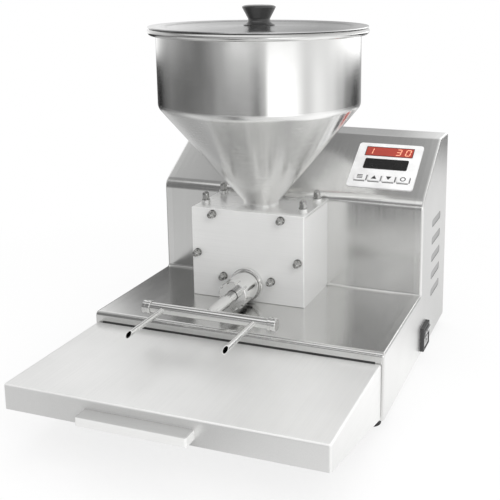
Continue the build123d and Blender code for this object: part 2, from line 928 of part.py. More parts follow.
def gear_outline():
    """One tooth-by-tooth outline of a pump gear with a tooth on its X axis."""
    pressure = radians(gear_pressure_angle)
    base_radius = gear_pitch_radius * cos(pressure)
    root_radius = gear_pitch_radius - gear_dedendum * gear_module
    half_tooth = (pi * gear_module / 2 - gear_backlash) / 2 / gear_pitch_radius
    flank_start = max(base_radius, root_radius)
    flank_height = gear_tip_radius - flank_start
    flank_steps = 4

    def flank_point(radius, side):
        angle = half_tooth + involute(pressure) - involute(acos(min(1.0, base_radius / radius)))
        return (radius * cos(side * angle), radius * sin(side * angle))

    radii = [flank_start + flank_height * step / flank_steps for step in range(flank_steps + 1)]
    lower = [flank_point(radius, -1) for radius in radii]
    upper = [flank_point(radius, 1) for radius in reversed(radii)]
    core = root_radius / (2 * flank_start)
    with BuildSketch() as tooth:
        with BuildLine():
            Spline(*lower)
            ThreePointArc(lower[-1], (gear_tip_radius, 0), upper[0])
            Spline(*upper)
            Polyline(
                upper[-1],
                (upper[-1][0] * core, upper[-1][1] * core),
                (lower[0][0] * core, lower[0][1] * core),
                lower[0],
            )
        make_face()
    with BuildSketch() as outline:
        Circle(root_radius)
        with PolarLocations(0, gear_teeth):
            add(tooth.sketch)
        Circle(shaft_radius + fixed_clearance, mode=Mode.SUBTRACT)
    return outline.sketch


gear_profile = gear_outline()


def pump_gear(x, turn):
    """Pump gear on its axis, turned about it by an angle in degrees."""
    with BuildPart() as gear:
        with BuildSketch(facing_front(x, pump_front_y + gear_end_play, gear_z)):
            add(gear_profile, rotation=turn)
        extrude(amount=-gear_width)
    return gear


half_pitch_turn = 180.0 / gear_teeth
drive_gear = pump_gear(drive_x, 0)
write(drive_gear, "drive_gear")
idler_gear = pump_gear(idler_x, half_pitch_turn)
write(idler_gear, "idler_gear")

shaft_front_y = pump_front_y - front_bush_length + shaft_end_gap
drive_shaft_rear_y = coupling_front_y + coupling_hub_length
idler_shaft_rear_y = chamber_rear_y + rear_bush_length - shaft_end_gap


def shaft(x, rear_y_end):
    """Round shaft from the cover's bush to its rear end."""
    with BuildPart() as rod:
        with BuildSketch(facing_front(x, shaft_front_y, gear_z)):
            Circle(shaft_radius)
        extrude(amount=shaft_front_y - rear_y_end)
    return rod


drive_shaft = shaft(drive_x, drive_shaft_rear_y)
write(drive_shaft, "drive_shaft")
idler_shaft = shaft(idler_x, idler_shaft_rear_y)
write(idler_shaft, "idler_shaft")

with BuildPart() as shaft_bushes:
    with BuildSketch(pump_front):
        with Locations(gear_places):
            Circle(bush_radius)
            Circle(shaft_radius + running_clearance, mode=Mode.SUBTRACT)
    extrude(amount=front_bush_length)
    with BuildSketch(pump_front.offset(-chamber_depth)):
        with Locations(gear_places):
            Circle(bush_radius)
            Circle(shaft_radius + running_clearance, mode=Mode.SUBTRACT)
    extrude(amount=-rear_bush_length)
write(shaft_bushes, "shaft_bushes")

with BuildPart() as shaft_seal:
    with BuildSketch(facing_front(drive_x, pump_rear_y, gear_z)):
        Circle(shaft_seal_radius)
        Circle(shaft_radius + running_clearance, mode=Mode.SUBTRACT)
    extrude(amount=shaft_seal_thickness)
write(shaft_seal, "shaft_seal")

# Mounting plate and its screws
with BuildPart() as pump_mount_plate:
    with BuildSketch(facing_front(pump_x, mount_plate_y, gear_z)):
        Rectangle(mount_plate_width, mount_plate_height)
        with Locations((drive_x - pump_x, 0)):
            Circle(shaft_radius + shaft_hole_play, mode=Mode.SUBTRACT)
        with GridLocations(mount_screw_spread_x, mount_screw_spread_z, 2, 2):
            Circle(mount_screw_radius + hole_play, mode=Mode.SUBTRACT)
    extrude(amount=-mount_plate_thickness)
write(pump_mount_plate, "pump_mount_plate")

mount_plate_rear_y = mount_plate_y + mount_plate_thickness
with BuildPart() as pump_mount_screws:
    with BuildSketch(facing_front(pump_x, mount_plate_rear_y, gear_z)):
        with GridLocations(mount_screw_spread_x, mount_screw_spread_z, 2, 2):
            RegularPolygon(mount_screw_head_radius, 6)
    extrude(amount=-mount_screw_head_height)
    with BuildSketch(facing_front(pump_x, mount_plate_rear_y, gear_z)):
        with GridLocations(mount_screw_spread_x, mount_screw_spread_z, 2, 2):
            Circle(mount_screw_radius)
    extrude(amount=mount_plate_thickness + sheet + mount_screw_depth - shaft_end_gap)
write(pump_mount_screws, "pump_mount_screws")

# Coupling, gearbox, motor, bracket and power supply
def jaw_ring(count, span, first_angle, inner, outer):
    """Evenly spaced ring sectors, each spanning an angle in degrees."""
    with BuildSketch() as sector:
        with BuildLine():
            rim = CenterArc((0, 0), outer, -span / 2, span)
            bore = CenterArc((0, 0), inner, -span / 2, span)
            Line(rim @ 0, bore @ 0)
            Line(rim @ 1, bore @ 1)
        make_face()
    with BuildSketch() as ring:
        with PolarLocations(0, count, start_angle=first_angle):
            add(sector.sketch)
    return ring.sketch


jaw_turn = 180.0 / coupling_jaws
leg_angle = jaw_turn - coupling_jaw_angle - 2.0 * coupling_gap
front_jaws = jaw_ring(coupling_jaws, coupling_jaw_angle, 0, coupling_core_radius, coupling_radius)
rear_jaws = jaw_ring(coupling_jaws, coupling_jaw_angle, jaw_turn, coupling_core_radius, coupling_radius)
spider_legs = jaw_ring(
    2 * coupling_jaws,
    leg_angle,
    jaw_turn / 2,
    coupling_core_radius - 2 * coupling_gap,
    coupling_radius - coupling_gap,
)
front_hub_y = coupling_front_y + coupling_hub_length
rear_hub_y = front_hub_y + coupling_jaw_length + 2 * coupling_gap

with BuildPart() as coupling_hubs:
    with BuildSketch(facing_front(drive_x, front_hub_y, gear_z)):
        Circle(coupling_radius)
        Circle(shaft_radius + fixed_clearance, mode=Mode.SUBTRACT)
    extrude(amount=coupling_hub_length)
    with BuildSketch(facing_front(drive_x, front_hub_y, gear_z)):
        add(front_jaws)
    extrude(amount=-coupling_jaw_length)
    with BuildSketch(facing_front(drive_x, rear_hub_y, gear_z)):
        Circle(coupling_radius)
        Circle(shaft_radius + fixed_clearance, mode=Mode.SUBTRACT)
    extrude(amount=-coupling_hub_length)
    with BuildSketch(facing_front(drive_x, rear_hub_y, gear_z)):
        add(rear_jaws)
    extrude(amount=coupling_jaw_length)
write(coupling_hubs, "coupling_hubs")

with BuildPart() as coupling_spider:
    with BuildSketch(facing_front(drive_x, front_hub_y + coupling_gap, gear_z)):
        Circle(coupling_core_radius - coupling_gap)
        add(spider_legs)
    extrude(amount=-coupling_jaw_length)
write(coupling_spider, "coupling_spider")

gearbox_shaft_sink = gearbox_depth / 2
with BuildPart() as gearbox_shaft:
    with BuildSketch(facing_front(drive_x, rear_hub_y, gear_z)):
        Circle(shaft_radius)
    extrude(amount=-(coupling_hub_length + gearbox_front_gap + gearbox_shaft_sink))
write(gearbox_shaft, "gearbox_shaft")

gearbox_bottom_z = gear_z - gearbox_height / 2
gearbox_mid_y = gearbox_front_y + gearbox_depth / 2
with BuildPart() as gearbox:
    with Locations((drive_x, gearbox_mid_y, gear_z)):
        Box(gearbox_width, gearbox_depth, gearbox_height)
    fillet(gearbox.edges().filter_by(Axis.Y), radius=gearbox_edge)
    with BuildSketch(facing_front(drive_x, gearbox_front_y, gear_z)):
        Circle(shaft_radius + running_clearance)
    extrude(amount=-(gearbox_shaft_sink + shaft_end_gap), mode=Mode.SUBTRACT)
write(gearbox, "gearbox")

motor_left_x = drive_x + gearbox_width / 2
with BuildPart() as motor:
    with BuildSketch(facing_right(motor_left_x, gearbox_mid_y, gear_z)):
        Circle(min(motor_flange_radius, gearbox_depth / 2))
    extrude(amount=motor_flange_length)
    with BuildSketch(facing_right(motor_left_x + motor_flange_length, gearbox_mid_y, gear_z)):
        Circle(motor_radius)
    extrude(amount=motor_length)
    fillet(motor.faces().sort_by(Axis.X)[-1].edges(), radius=motor_edge)
write(motor, "motor")

with BuildPart() as motor_bracket:
    half_stand = gearbox_width / 2
    with BuildSketch(facing_front(drive_x, gearbox_front_y, gearbox_bottom_z)):
        leg_height = gearbox_bottom_z - base_bottom_z
        with BuildLine():
            Polyline(
                (-half_stand, 0),
                (half_stand, 0),
                (half_stand, bracket_sheet - leg_height),
                (half_stand + bracket_foot, bracket_sheet - leg_height),
                (half_stand + bracket_foot, -leg_height),
                (half_stand - bracket_sheet, -leg_height),
                (half_stand - bracket_sheet, -bracket_sheet),
                (bracket_sheet - half_stand, -bracket_sheet),
                (bracket_sheet - half_stand, -leg_height),
                (-half_stand - bracket_foot, -leg_height),
                (-half_stand - bracket_foot, bracket_sheet - leg_height),
                (-half_stand, bracket_sheet - leg_height),
                close=True,
            )
        make_face()
    extrude(amount=-gearbox_depth)
write(motor_bracket, "motor_bracket")

with BuildPart() as power_supply:
    with Locations((half_width - supply_side_inset, housing_front_y + supply_front_gap, base_bottom_z)):
        Box(
            supply_width,
            supply_depth,
            supply_height,
            align=(Align.MAX, Align.MIN, Align.MIN),
        )
write(power_supply, "power_supply")

# Outlet spigot, union and manifold
nozzle_front = facing_front(pump_x, cover_front_y, nozzle_z)
spigot_end = spigot_flange_thickness + spigot_length
collar_start = spigot_end + union_seal_thickness
collar_end = collar_start + stem_collar_thickness
union_start = spigot_flange_thickness + union_rear_gap
union_lip_start = collar_end + moving_gap
union_end = union_lip_start + union_lip_thickness
union_bore_radius = spigot_radius + moving_gap

with BuildPart() as outlet_spigot:
    with BuildSketch(nozzle_front):
        Circle(spigot_flange_radius)
    extrude(amount=spigot_flange_thickness)
    flange_rim = outlet_spigot.edges().filter_by(GeomType.CIRCLE).sort_by(Axis.Y)[0]
    fillet(flange_rim, radius=union_edge)
    with BuildSketch(nozzle_front):
        Circle(spigot_neck_radius)
    extrude(amount=-cover_thickness)
    with BuildSketch(nozzle_front):
        Circle(spigot_radius)
    extrude(amount=spigot_end)
    with BuildSketch(nozzle_front.offset(-cover_thickness)):
        Circle(spigot_bore_radius)
    extrude(amount=cover_thickness + spigot_end, mode=Mode.SUBTRACT)
write(outlet_spigot, "outlet_spigot")

with BuildPart() as union_seal:
    with BuildSketch(nozzle_front.offset(spigot_end)):
        Circle(stem_collar_radius)
        Circle(spigot_bore_radius, mode=Mode.SUBTRACT)
    extrude(amount=union_seal_thickness)
write(union_seal, "union_seal")

with BuildPart() as union_nut:
    with BuildSketch(nozzle_front.offset(union_start)):
        Circle(union_radius)
    extrude(amount=union_end - union_start)
    fillet(union_nut.edges().filter_by(GeomType.CIRCLE), radius=union_edge)
    with BuildSketch(nozzle_front.offset(union_start)):
        Circle(union_bore_radius)
    extrude(amount=union_lip_start - union_start, mode=Mode.SUBTRACT)
    with BuildSketch(nozzle_front.offset(union_start)):
        Circle(stem_radius + 2 * moving_gap)
    extrude(amount=union_end - union_start, mode=Mode.SUBTRACT)
    with BuildSketch(nozzle_front.offset(union_end)):
        with PolarLocations(union_radius, union_slots):
            Rectangle(2 * union_slot_depth, union_slot_width)
    extrude(amount=-union_slot_length, mode=Mode.SUBTRACT)
write(union_nut, "union_nut")

tube_y = cover_front_y - manifold_reach
tube_axis = facing_right(pump_x, tube_y, nozzle_z)
tube_half = manifold_length / 2 - cap_end - moving_gap
stem_length = manifold_reach - collar_start
needle_places = (-needle_spacing / 2, needle_spacing / 2)

with BuildPart() as manifold:
    with BuildSketch(nozzle_front.offset(collar_start)):
        Circle(stem_collar_radius)
    extrude(amount=stem_collar_thickness)
    with BuildSketch(nozzle_front.offset(collar_start)):
        Circle(stem_radius)
    extrude(amount=stem_length)
    with BuildSketch(tube_axis):
        Circle(tube_radius)
    extrude(amount=tube_half, both=True)
    with BuildSketch(tube_axis):
        Circle(tube_bore_radius)
    extrude(amount=tube_half, both=True, mode=Mode.SUBTRACT)
    with BuildSketch(nozzle_front.offset(collar_start)):
        Circle(stem_bore_radius)
    extrude(amount=stem_length, mode=Mode.SUBTRACT)
    with BuildSketch(facing_front(pump_x, tube_y, nozzle_z)):
        with Locations([(x, 0) for x in needle_places]):
            Circle(needle_radius + fixed_clearance)
    extrude(amount=2 * tube_radius, mode=Mode.SUBTRACT)
write(manifold, "manifold")


def needle(offset_x):
    """Hollow needle screwed into the front of the cross tube, its tip cut at a slant and open upwards."""
    root_plane = facing_front(pump_x + offset_x, tube_y, nozzle_z)
    root = (tube_bore_radius**2 - needle_radius**2) ** 0.5
    tip_plane = Plane(
        origin=(pump_x + offset_x, tube_y - needle_length + needle_radius, nozzle_z),
        x_dir=(1, 0, 0),
        z_dir=(0, -cos(radians(needle_bevel)), sin(radians(needle_bevel))),
    )
    with BuildPart() as tube:
        with BuildSketch(root_plane.offset(root)):
            Circle(needle_radius)
            Circle(needle_bore_radius, mode=Mode.SUBTRACT)
        extrude(amount=needle_length)
        split(bisect_by=tip_plane, keep=Keep.BOTTOM)
    return tube


needle_left = needle(needle_places[0])
write(needle_left, "needle_left")
needle_right = needle(needle_places[1])
write(needle_right, "needle_right")


def end_cap(side):
    """Screw cap over one end of the cross tube."""
    outer_plane = facing_right(pump_x + side * manifold_length / 2, tube_y, nozzle_z)
    inward = -side
    with BuildPart() as cap:
        with BuildSketch(outer_plane):
            Circle(cap_radius)
        extrude(amount=inward * cap_length)
        fillet(cap.edges().filter_by(GeomType.CIRCLE), radius=cap_edge)
        with BuildSketch(outer_plane.offset(inward * (cap_length - cap_groove_width) / 2)):
            Circle(cap_radius)
            Circle(cap_radius - cap_groove_depth, mode=Mode.SUBTRACT)
        extrude(amount=inward * cap_groove_width, mode=Mode.SUBTRACT)
        with BuildSketch(outer_plane.offset(inward * cap_end)):
            Circle(tube_radius + moving_gap)
        extrude(amount=inward * (cap_length - cap_end), mode=Mode.SUBTRACT)
    return cap


end_cap_left = end_cap(-1)
write(end_cap_left, "end_cap_left")
end_cap_right = end_cap(1)
write(end_cap_right, "end_cap_right")

# Hopper and its gasket
hopper_bore_radius = hopper_neck_radius - hopper_wall
stud_grid = [(x - pump_x, y - hopper_y) for x, y in hopper_stud_places]
seam_z = flange_top_z + hopper_cone_height
weld_z = seam_z + hopper_weld_rise
wall_top_z = seam_z + hopper_cylinder_height
neck_top_z = flange_top_z + hopper_neck_height
rim_top_z = wall_top_z + rim_bead_radius

with BuildPart() as hopper_gasket:
    with BuildSketch(Plane((pump_x, hopper_y, pump_top_z))):
        Rectangle(pump_width - 2 * gasket_margin, pump_body_depth - 2 * gasket_margin)
        Circle(hopper_bore_radius, mode=Mode.SUBTRACT)
        with Locations(stud_grid):
            Circle(stud_radius + hole_play, mode=Mode.SUBTRACT)
    extrude(amount=gasket_thickness)
write(hopper_gasket, "hopper_gasket")

hopper_section = Plane((pump_x, hopper_y, 0), x_dir=(1, 0, 0), z_dir=(0, -1, 0))
hopper_axis = Axis((pump_x, hopper_y, 0), (0, 0, 1))
with BuildPart() as hopper_flange:
    with BuildSketch(Plane((pump_x, hopper_y, hopper_bottom_z))):
        Rectangle(pump_width, pump_body_depth)
    extrude(amount=hopper_flange_thickness)
    fillet(hopper_flange.edges().filter_by(Axis.Y).group_by(Axis.Z)[-1], radius=pump_edge)
    with BuildSketch(Plane((pump_x, hopper_y, flange_top_z))):
        with Locations(stud_grid):
            Circle(hopper_boss_radius)
    extrude(amount=hopper_boss_height)
    with BuildSketch(Plane((pump_x, hopper_y, hopper_bottom_z))):
        Circle(hopper_bore_radius)
        with Locations(stud_grid):
            Circle(stud_radius + hole_play)
    extrude(amount=hopper_flange_thickness + hopper_boss_height, mode=Mode.SUBTRACT)
write(hopper_flange, "hopper_flange")

with BuildPart() as hopper_cone:
    with BuildSketch(hopper_section):
        with BuildLine():
            FilletPolyline(
                (hopper_neck_radius, flange_top_z),
                (hopper_neck_radius, neck_top_z),
                (hopper_radius, seam_z),
                (hopper_radius, weld_z),
                (hopper_radius - hopper_wall, weld_z),
                (hopper_radius - hopper_wall, seam_z),
                (hopper_bore_radius, neck_top_z),
                (hopper_bore_radius, flange_top_z),
                radius=[
                    0,
                    hopper_neck_bend,
                    hopper_knuckle,
                    0,
                    0,
                    hopper_knuckle - hopper_wall,
                    hopper_neck_bend + hopper_wall,
                    0,
                ],
                close=True,
            )
        make_face()
    revolve(axis=hopper_axis)
write(hopper_cone, "hopper_cone")

rim_bead_reach = hopper_radius + rim_bead_offset
with BuildPart() as hopper_wall_ring:
    with BuildSketch(hopper_section):
        with Locations((hopper_radius, weld_z)):
            Rectangle(hopper_wall, hopper_cylinder_height - hopper_weld_rise, align=(Align.MAX, Align.MIN))
        with Locations((rim_bead_reach, wall_top_z)):
            Rectangle(rim_bead_offset + hopper_wall, rim_fold_height, align=(Align.MAX, Align.CENTER))
            Circle(rim_bead_radius)
    revolve(axis=hopper_axis)
write(hopper_wall_ring, "hopper_wall")

# Lid with its knob
lid_z = rim_top_z + moving_gap
lid_crown_z = lid_z - lid_sink + lid_crown
lid_tab_radius = hopper_radius - hopper_wall - lid_tab_gap
step_inner_radius = lid_step_radius - lid_step_run

with BuildPart() as lid:
    with BuildSketch(hopper_section):
        with BuildLine():
            FilletPolyline(
                (lid_radius, lid_z),
                (lid_radius, lid_z + lid_sheet),
                (lid_step_radius, lid_z + lid_sheet),
                (step_inner_radius, lid_z - lid_sink + lid_sheet),
                (lid_seat_radius, lid_crown_z + lid_sheet),
                (0, lid_crown_z + lid_sheet),
                (0, lid_crown_z),
                (lid_seat_radius, lid_crown_z),
                (step_inner_radius, lid_z - lid_sink),
                (lid_step_radius, lid_z),
                radius=[0, 0, lid_bend, lid_bend, 0, 0, 0, 0, lid_bend, lid_bend],
                close=True,
            )
        make_face()
    revolve(axis=hopper_axis)
    with Locations((pump_x, hopper_y, lid_crown_z)):
        Cylinder(knob_screw_radius + hole_play, 4 * lid_sheet, mode=Mode.SUBTRACT)
    with BuildSketch(Plane((pump_x, hopper_y, lid_z))):
        with PolarLocations(lid_tab_radius - lid_sheet / 2, lid_tab_count):
            Rectangle(lid_sheet, lid_tab_width)
    extrude(amount=-lid_tab_depth)
write(lid, "lid")

knob_z = lid_crown_z + lid_sheet
with BuildPart() as lid_knob:
    with BuildSketch(hopper_section):
        with BuildLine():
            foot_line = Line((0, knob_z), (knob_base_radius, knob_z))
            base_side = Line(foot_line @ 1, (knob_base_radius, knob_z + knob_base_height))
            foot_curve = Spline(
                base_side @ 1,
                (knob_neck_radius, knob_z + knob_neck_height),
                tangents=(knob_foot_lean, (0, 1)),
            )
            flare = Line(foot_curve @ 1, (knob_top_radius, knob_z + knob_top_height))
            rim_side = Line(flare @ 1, (knob_top_radius, knob_z + knob_top_height + knob_rim_height))
            crown = Spline(
                rim_side @ 1,
                (0, knob_z + knob_height),
                tangents=(knob_crown_lean, (-1, 0)),
            )
            Line(crown @ 1, foot_line @ 0)
        make_face()
    revolve(axis=hopper_axis)
    with Locations((pump_x, hopper_y, knob_z)):
        Cylinder(
            knob_screw_radius + fixed_clearance,
            knob_screw_depth,
            align=(Align.CENTER, Align.CENTER, Align.MIN),
            mode=Mode.SUBTRACT,
        )
write(lid_knob, "lid_knob")

with BuildPart() as lid_knob_screw:
    with Locations((pump_x, hopper_y, lid_crown_z)):
        Cylinder(
            knob_screw_head_radius,
            knob_screw_head_height,
            align=(Align.CENTER, Align.CENTER, Align.MAX),
        )
        Cylinder(
            knob_screw_radius,
            lid_sheet + knob_screw_depth - shaft_end_gap,
            align=(Align.CENTER, Align.CENTER, Align.MIN),
        )
write(lid_knob_screw, "lid_knob_screw")

# Control panel, window, label field, keys and boards
key_offsets = [(index - (key_count - 1) / 2) * key_pitch for index in range(key_count)]

with BuildPart() as control_panel:
    with BuildSketch(panel_plane):
        RectangleRounded(panel_width, panel_height, panel_corner)
        with Locations((0, window_rise)):
            RectangleRounded(
                window_width + 2 * fixed_clearance,
                window_height + 2 * fixed_clearance,
                window_corner,
                mode=Mode.SUBTRACT,
            )
        with Locations([(x, -key_drop) for x in key_offsets]):
            RectangleRounded(key_hole_width, key_hole_height, key_corner, mode=Mode.SUBTRACT)
    extrude(amount=panel_thickness)
write(control_panel, "control_panel")

with BuildPart() as display_window:
    with BuildSketch(panel_plane):
        with Locations((0, window_rise)):
            RectangleRounded(window_width, window_height, window_corner)
    extrude(amount=panel_thickness + window_proud)
write(display_window, "display_window")

with BuildPart() as label_plate:
    with BuildSketch(panel_plane.offset(panel_thickness)):
        with Locations((0, label_rise)):
            RectangleRounded(label_width, label_height, label_corner)
    extrude(amount=label_thickness)
write(label_plate, "label_plate")

flange_low = sheet + moving_gap + key_flange_thickness
stem_low = flange_low + key_stem_length
tact_height = board_depth - stem_low - key_travel - tact_clearance


def key(offset_x):
    """Key cap through the panel, held by a flange behind the sheet, with a stem for its switch."""
    with BuildPart() as cap:
        with BuildSketch(panel_plane.offset(panel_thickness + key_proud)):
            with Locations((offset_x, -key_drop)):
                RectangleRounded(key_width, key_height, key_corner)
        extrude(amount=-(panel_thickness + key_proud + sheet + moving_gap))
        cap_edges = cap.faces().sort_by(Axis(panel_centre, slope_out))[-1].edges()
        fillet(cap_edges, radius=key_edge)
        with BuildSketch(panel_plane.offset(-flange_low)):
            with Locations((offset_x, -key_drop)):
                Rectangle(key_width + 2 * key_flange, key_height + 2 * key_flange)
        extrude(amount=key_flange_thickness)
        with BuildSketch(panel_plane.offset(-stem_low)):
            with Locations((offset_x, -key_drop)):
                Circle(key_stem_radius)
        extrude(amount=key_stem_length)
    return cap


for key_index, key_offset in enumerate(key_offsets):
    write(key(key_offset), f"key_{key_index + 1}")

board_plane = panel_plane.offset(-board_depth)
board_width = panel_width - 2 * board_margin
board_height = panel_height - 2 * board_margin
with BuildPart() as control_board:
    with BuildSketch(board_plane):
        Rectangle(board_width, board_height)
    extrude(amount=-board_thickness)
    with BuildSketch(board_plane):
        with GridLocations(board_width - 2 * board_post_inset, label_height, 2, 2):
            Circle(board_post_radius)
    extrude(amount=board_depth - sheet)
write(control_board, "control_board")

with BuildPart() as key_switches:
    with BuildSketch(board_plane):
        with Locations([(x, -key_drop) for x in key_offsets]):
            Rectangle(tact_size, tact_size)
    extrude(amount=tact_height)
write(key_switches, "key_switches")

with BuildPart() as display_module:
    with BuildSketch(board_plane):
        with Locations((0, window_rise)):
            Rectangle(display_width, display_height)
    extrude(amount=board_depth - display_gap)
write(display_module, "display_module")

# Rocker switch
pivot_plane = side_plane.offset(switch_flange_proud - rocker_pivot_sink)
pin_half = rocker_depth / 2 + rocker_pin_reach
with BuildPart() as switch_bezel:
    with BuildSketch(side_plane):
        RectangleRounded(switch_flange_depth, switch_flange_height, switch_flange_edge)
    extrude(amount=switch_flange_proud)
    fillet(switch_bezel.faces().sort_by(Axis.X)[-1].edges(), radius=switch_flange_edge)
    with BuildSketch(side_plane):
        Rectangle(switch_body_depth, switch_body_height)
    extrude(amount=-switch_body_reach)
    with BuildSketch(side_plane.offset(switch_flange_proud)):
        Rectangle(switch_cavity_depth, switch_cavity_height)
    extrude(amount=-(switch_flange_proud + switch_cavity_reach), mode=Mode.SUBTRACT)
    with BuildSketch(Plane(origin=pivot_plane.origin, x_dir=(1, 0, 0), z_dir=(0, -1, 0))):
        Circle(rocker_pin_radius + running_clearance)
    extrude(amount=pin_half + hole_play, both=True, mode=Mode.SUBTRACT)
write(switch_bezel, "switch_bezel")

rest_plane = Plane(
    origin=pivot_plane.origin,
    x_dir=(cos(radians(rocker_tilt)), 0, -sin(radians(rocker_tilt))),
    z_dir=(0, -1, 0),
)
half_rocker = rocker_height / 2
face_rise = half_rocker * tan(radians(rocker_tilt))
with BuildPart() as switch_rocker:
    with BuildSketch(rest_plane):
        with BuildLine():
            Polyline(
                (-rocker_bottom, -half_rocker),
                (rocker_face + face_rise, -half_rocker),
                (rocker_face, 0),
                (rocker_face + face_rise, half_rocker),
                (-rocker_bottom, half_rocker),
                close=True,
            )
        make_face()
    extrude(amount=rocker_depth / 2, both=True)
    with BuildSketch(rest_plane):
        Circle(rocker_pin_radius)
    extrude(amount=pin_half, both=True)
write(switch_rocker, "switch_rocker")
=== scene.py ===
"""Looks of the pastry filling machine: materials, small marks, studio and camera, in metres."""

from math import cos, degrees, radians, sin, tau

import bmesh
import bpy
from mathutils import Matrix, Vector


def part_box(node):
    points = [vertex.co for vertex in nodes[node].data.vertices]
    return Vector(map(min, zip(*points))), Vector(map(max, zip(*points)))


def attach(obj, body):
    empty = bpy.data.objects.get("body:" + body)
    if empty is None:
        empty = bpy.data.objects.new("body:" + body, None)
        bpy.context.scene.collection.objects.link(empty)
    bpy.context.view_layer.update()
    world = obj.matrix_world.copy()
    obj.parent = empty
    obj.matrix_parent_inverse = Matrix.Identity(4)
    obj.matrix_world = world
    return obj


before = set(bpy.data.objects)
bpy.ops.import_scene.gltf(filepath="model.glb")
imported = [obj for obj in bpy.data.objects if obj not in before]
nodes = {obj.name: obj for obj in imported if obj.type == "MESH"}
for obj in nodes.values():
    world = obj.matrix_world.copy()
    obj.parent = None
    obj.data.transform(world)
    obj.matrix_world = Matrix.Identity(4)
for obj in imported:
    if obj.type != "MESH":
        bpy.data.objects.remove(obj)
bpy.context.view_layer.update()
MM = 0.001
hopper_low, hopper_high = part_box("hopper_wall")
HOPPER_AXIS = ((hopper_low[0] + hopper_high[0]) / 2, (hopper_low[1] + hopper_high[1]) / 2, 0.0)

# Values that the finishes share: waves per metre, shares of the tone, steps of the gloss
GRAIN_STRETCH = 120.0
POLISH_CLOUDS = (14.0, 14.0, 14.0)
WIPE_MARKS = (22.0, 9.0, 14.0)
CLOUD_SHADE = 0.96
DARKEST_SHADE = 0.94
LINE_GLOSS = 0.03
WIPE_GLOSS = 0.04
MOULD_CLOUDS = (60.0, 60.0, 60.0)
MOULD_DARK = 0.90
MOULD_LIGHT = 1.05
MOULD_GLOSS = 0.05
MOULD_GRAIN_DEPTH = 0.05 * MM
HOUSING_GLOSS = 0.19
SIDE_GLOSS = 0.32
SIDE_METALLIC = 0.8
ROUND_TURN = 0.80
FLAT_TURN = 0.99
QUARTER_TURN = 0.25


# Shader helpers
def new_material(name):
    """A material with an empty tree but for its output and a Principled shader."""
    material = bpy.data.materials.new(name)
    material.use_nodes = True
    tree = material.node_tree
    tree.nodes.clear()
    output = tree.nodes.new("ShaderNodeOutputMaterial")
    shader = tree.nodes.new("ShaderNodeBsdfPrincipled")
    tree.links.new(shader.outputs["BSDF"], output.inputs["Surface"])
    return material, tree, shader


def coordinates(tree, stretch):
    """Object coordinates in metres, multiplied along each axis."""
    source = tree.nodes.new("ShaderNodeTexCoord")
    mapping = tree.nodes.new("ShaderNodeMapping")
    mapping.inputs["Scale"].default_value = stretch
    tree.links.new(source.outputs["Object"], mapping.inputs["Vector"])
    return mapping.outputs["Vector"]


def noise(tree, stretch, detail=2.0, roughness=0.5):
    """Noise value between 0 and 1, with so many waves per metre along each axis."""
    node = tree.nodes.new("ShaderNodeTexNoise")
    node.inputs["Scale"].default_value = 1.0
    node.inputs["Detail"].default_value = detail
    node.inputs["Roughness"].default_value = roughness
    tree.links.new(coordinates(tree, stretch), node.inputs["Vector"])
    return node.outputs["Fac"]


def spread(tree, value, low, high, source_low=0.3, source_high=0.7):
    """Maps a value from one range on to another, held at its ends."""
    node = tree.nodes.new("ShaderNodeMapRange")
    node.inputs["From Min"].default_value = source_low
    node.inputs["From Max"].default_value = source_high
    node.inputs["To Min"].default_value = low
    node.inputs["To Max"].default_value = high
    tree.links.new(value, node.inputs["Value"])
    return node.outputs["Result"]


def calculate(tree, operation, first, second):
    """Math node on two sockets or numbers."""
    node = tree.nodes.new("ShaderNodeMath")
    node.operation = operation
    for socket, value in zip(node.inputs, (first, second)):
        if isinstance(value, (int, float)):
            socket.default_value = value
        else:
            tree.links.new(value, socket)
    return node.outputs["Value"]


def blend_colours(tree, factor, first, second):
    """Mix of two colours by a factor socket."""
    node = tree.nodes.new("ShaderNodeMix")
    node.data_type = "RGBA"
    node.inputs["A"].default_value = (*first, 1.0)
    node.inputs["B"].default_value = (*second, 1.0)
    tree.links.new(factor, node.inputs["Factor"])
    return node.outputs["Result"]


def relief(tree, shader, height, depth, strength):
    """Fine bump of a height between 0 and 1."""
    node = tree.nodes.new("ShaderNodeBump")
    node.inputs["Strength"].default_value = strength
    node.inputs["Distance"].default_value = depth
    tree.links.new(height, node.inputs["Height"])
    tree.links.new(node.outputs["Normal"], shader.inputs["Normal"])


def tinted(colour, gain):
    """Colour made lighter or darker."""
    return tuple(min(1.0, channel * gain) for channel in colour)


def steel_tone(tree, shader, colour, roughness, lines, streak):
    """Colour and gloss of a metal: grain lines, cloudy polish and faint wipe marks."""
    clouds = noise(tree, POLISH_CLOUDS, detail=4.0)
    wipes = noise(tree, WIPE_MARKS, detail=5.0, roughness=0.6)
    grained = spread(tree, lines, 1.0 - streak, 1.0)
    shade = calculate(tree, "MULTIPLY", grained, spread(tree, clouds, CLOUD_SHADE, 1.0))
    low = DARKEST_SHADE * (1.0 - streak)
    tone = blend_colours(tree, spread(tree, shade, 0.0, 1.0, low, 1.0), tinted(colour, low), colour)
    tree.links.new(tone, shader.inputs["Base Color"])
    line_gloss = spread(tree, lines, -LINE_GLOSS, LINE_GLOSS)
    wipe_gloss = spread(tree, wipes, -LINE_GLOSS, WIPE_GLOSS)
    gloss = calculate(tree, "ADD", line_gloss, wipe_gloss)
    tree.links.new(calculate(tree, "ADD", gloss, roughness), shader.inputs["Roughness"])


def brushed_steel(name, colour, roughness, along, grain=900.0, streak=0.05, metallic=1.0):
    """Satin steel whose grain lines run along the named axes."""
    material, tree, shader = new_material(name)
    shader.inputs["Metallic"].default_value = metallic
    stretch = [grain / GRAIN_STRETCH if axis in along else grain for axis in "XYZ"]
    lines = noise(tree, stretch, detail=3.0, roughness=0.7)
    steel_tone(tree, shader, colour, roughness, lines, streak)
    return material


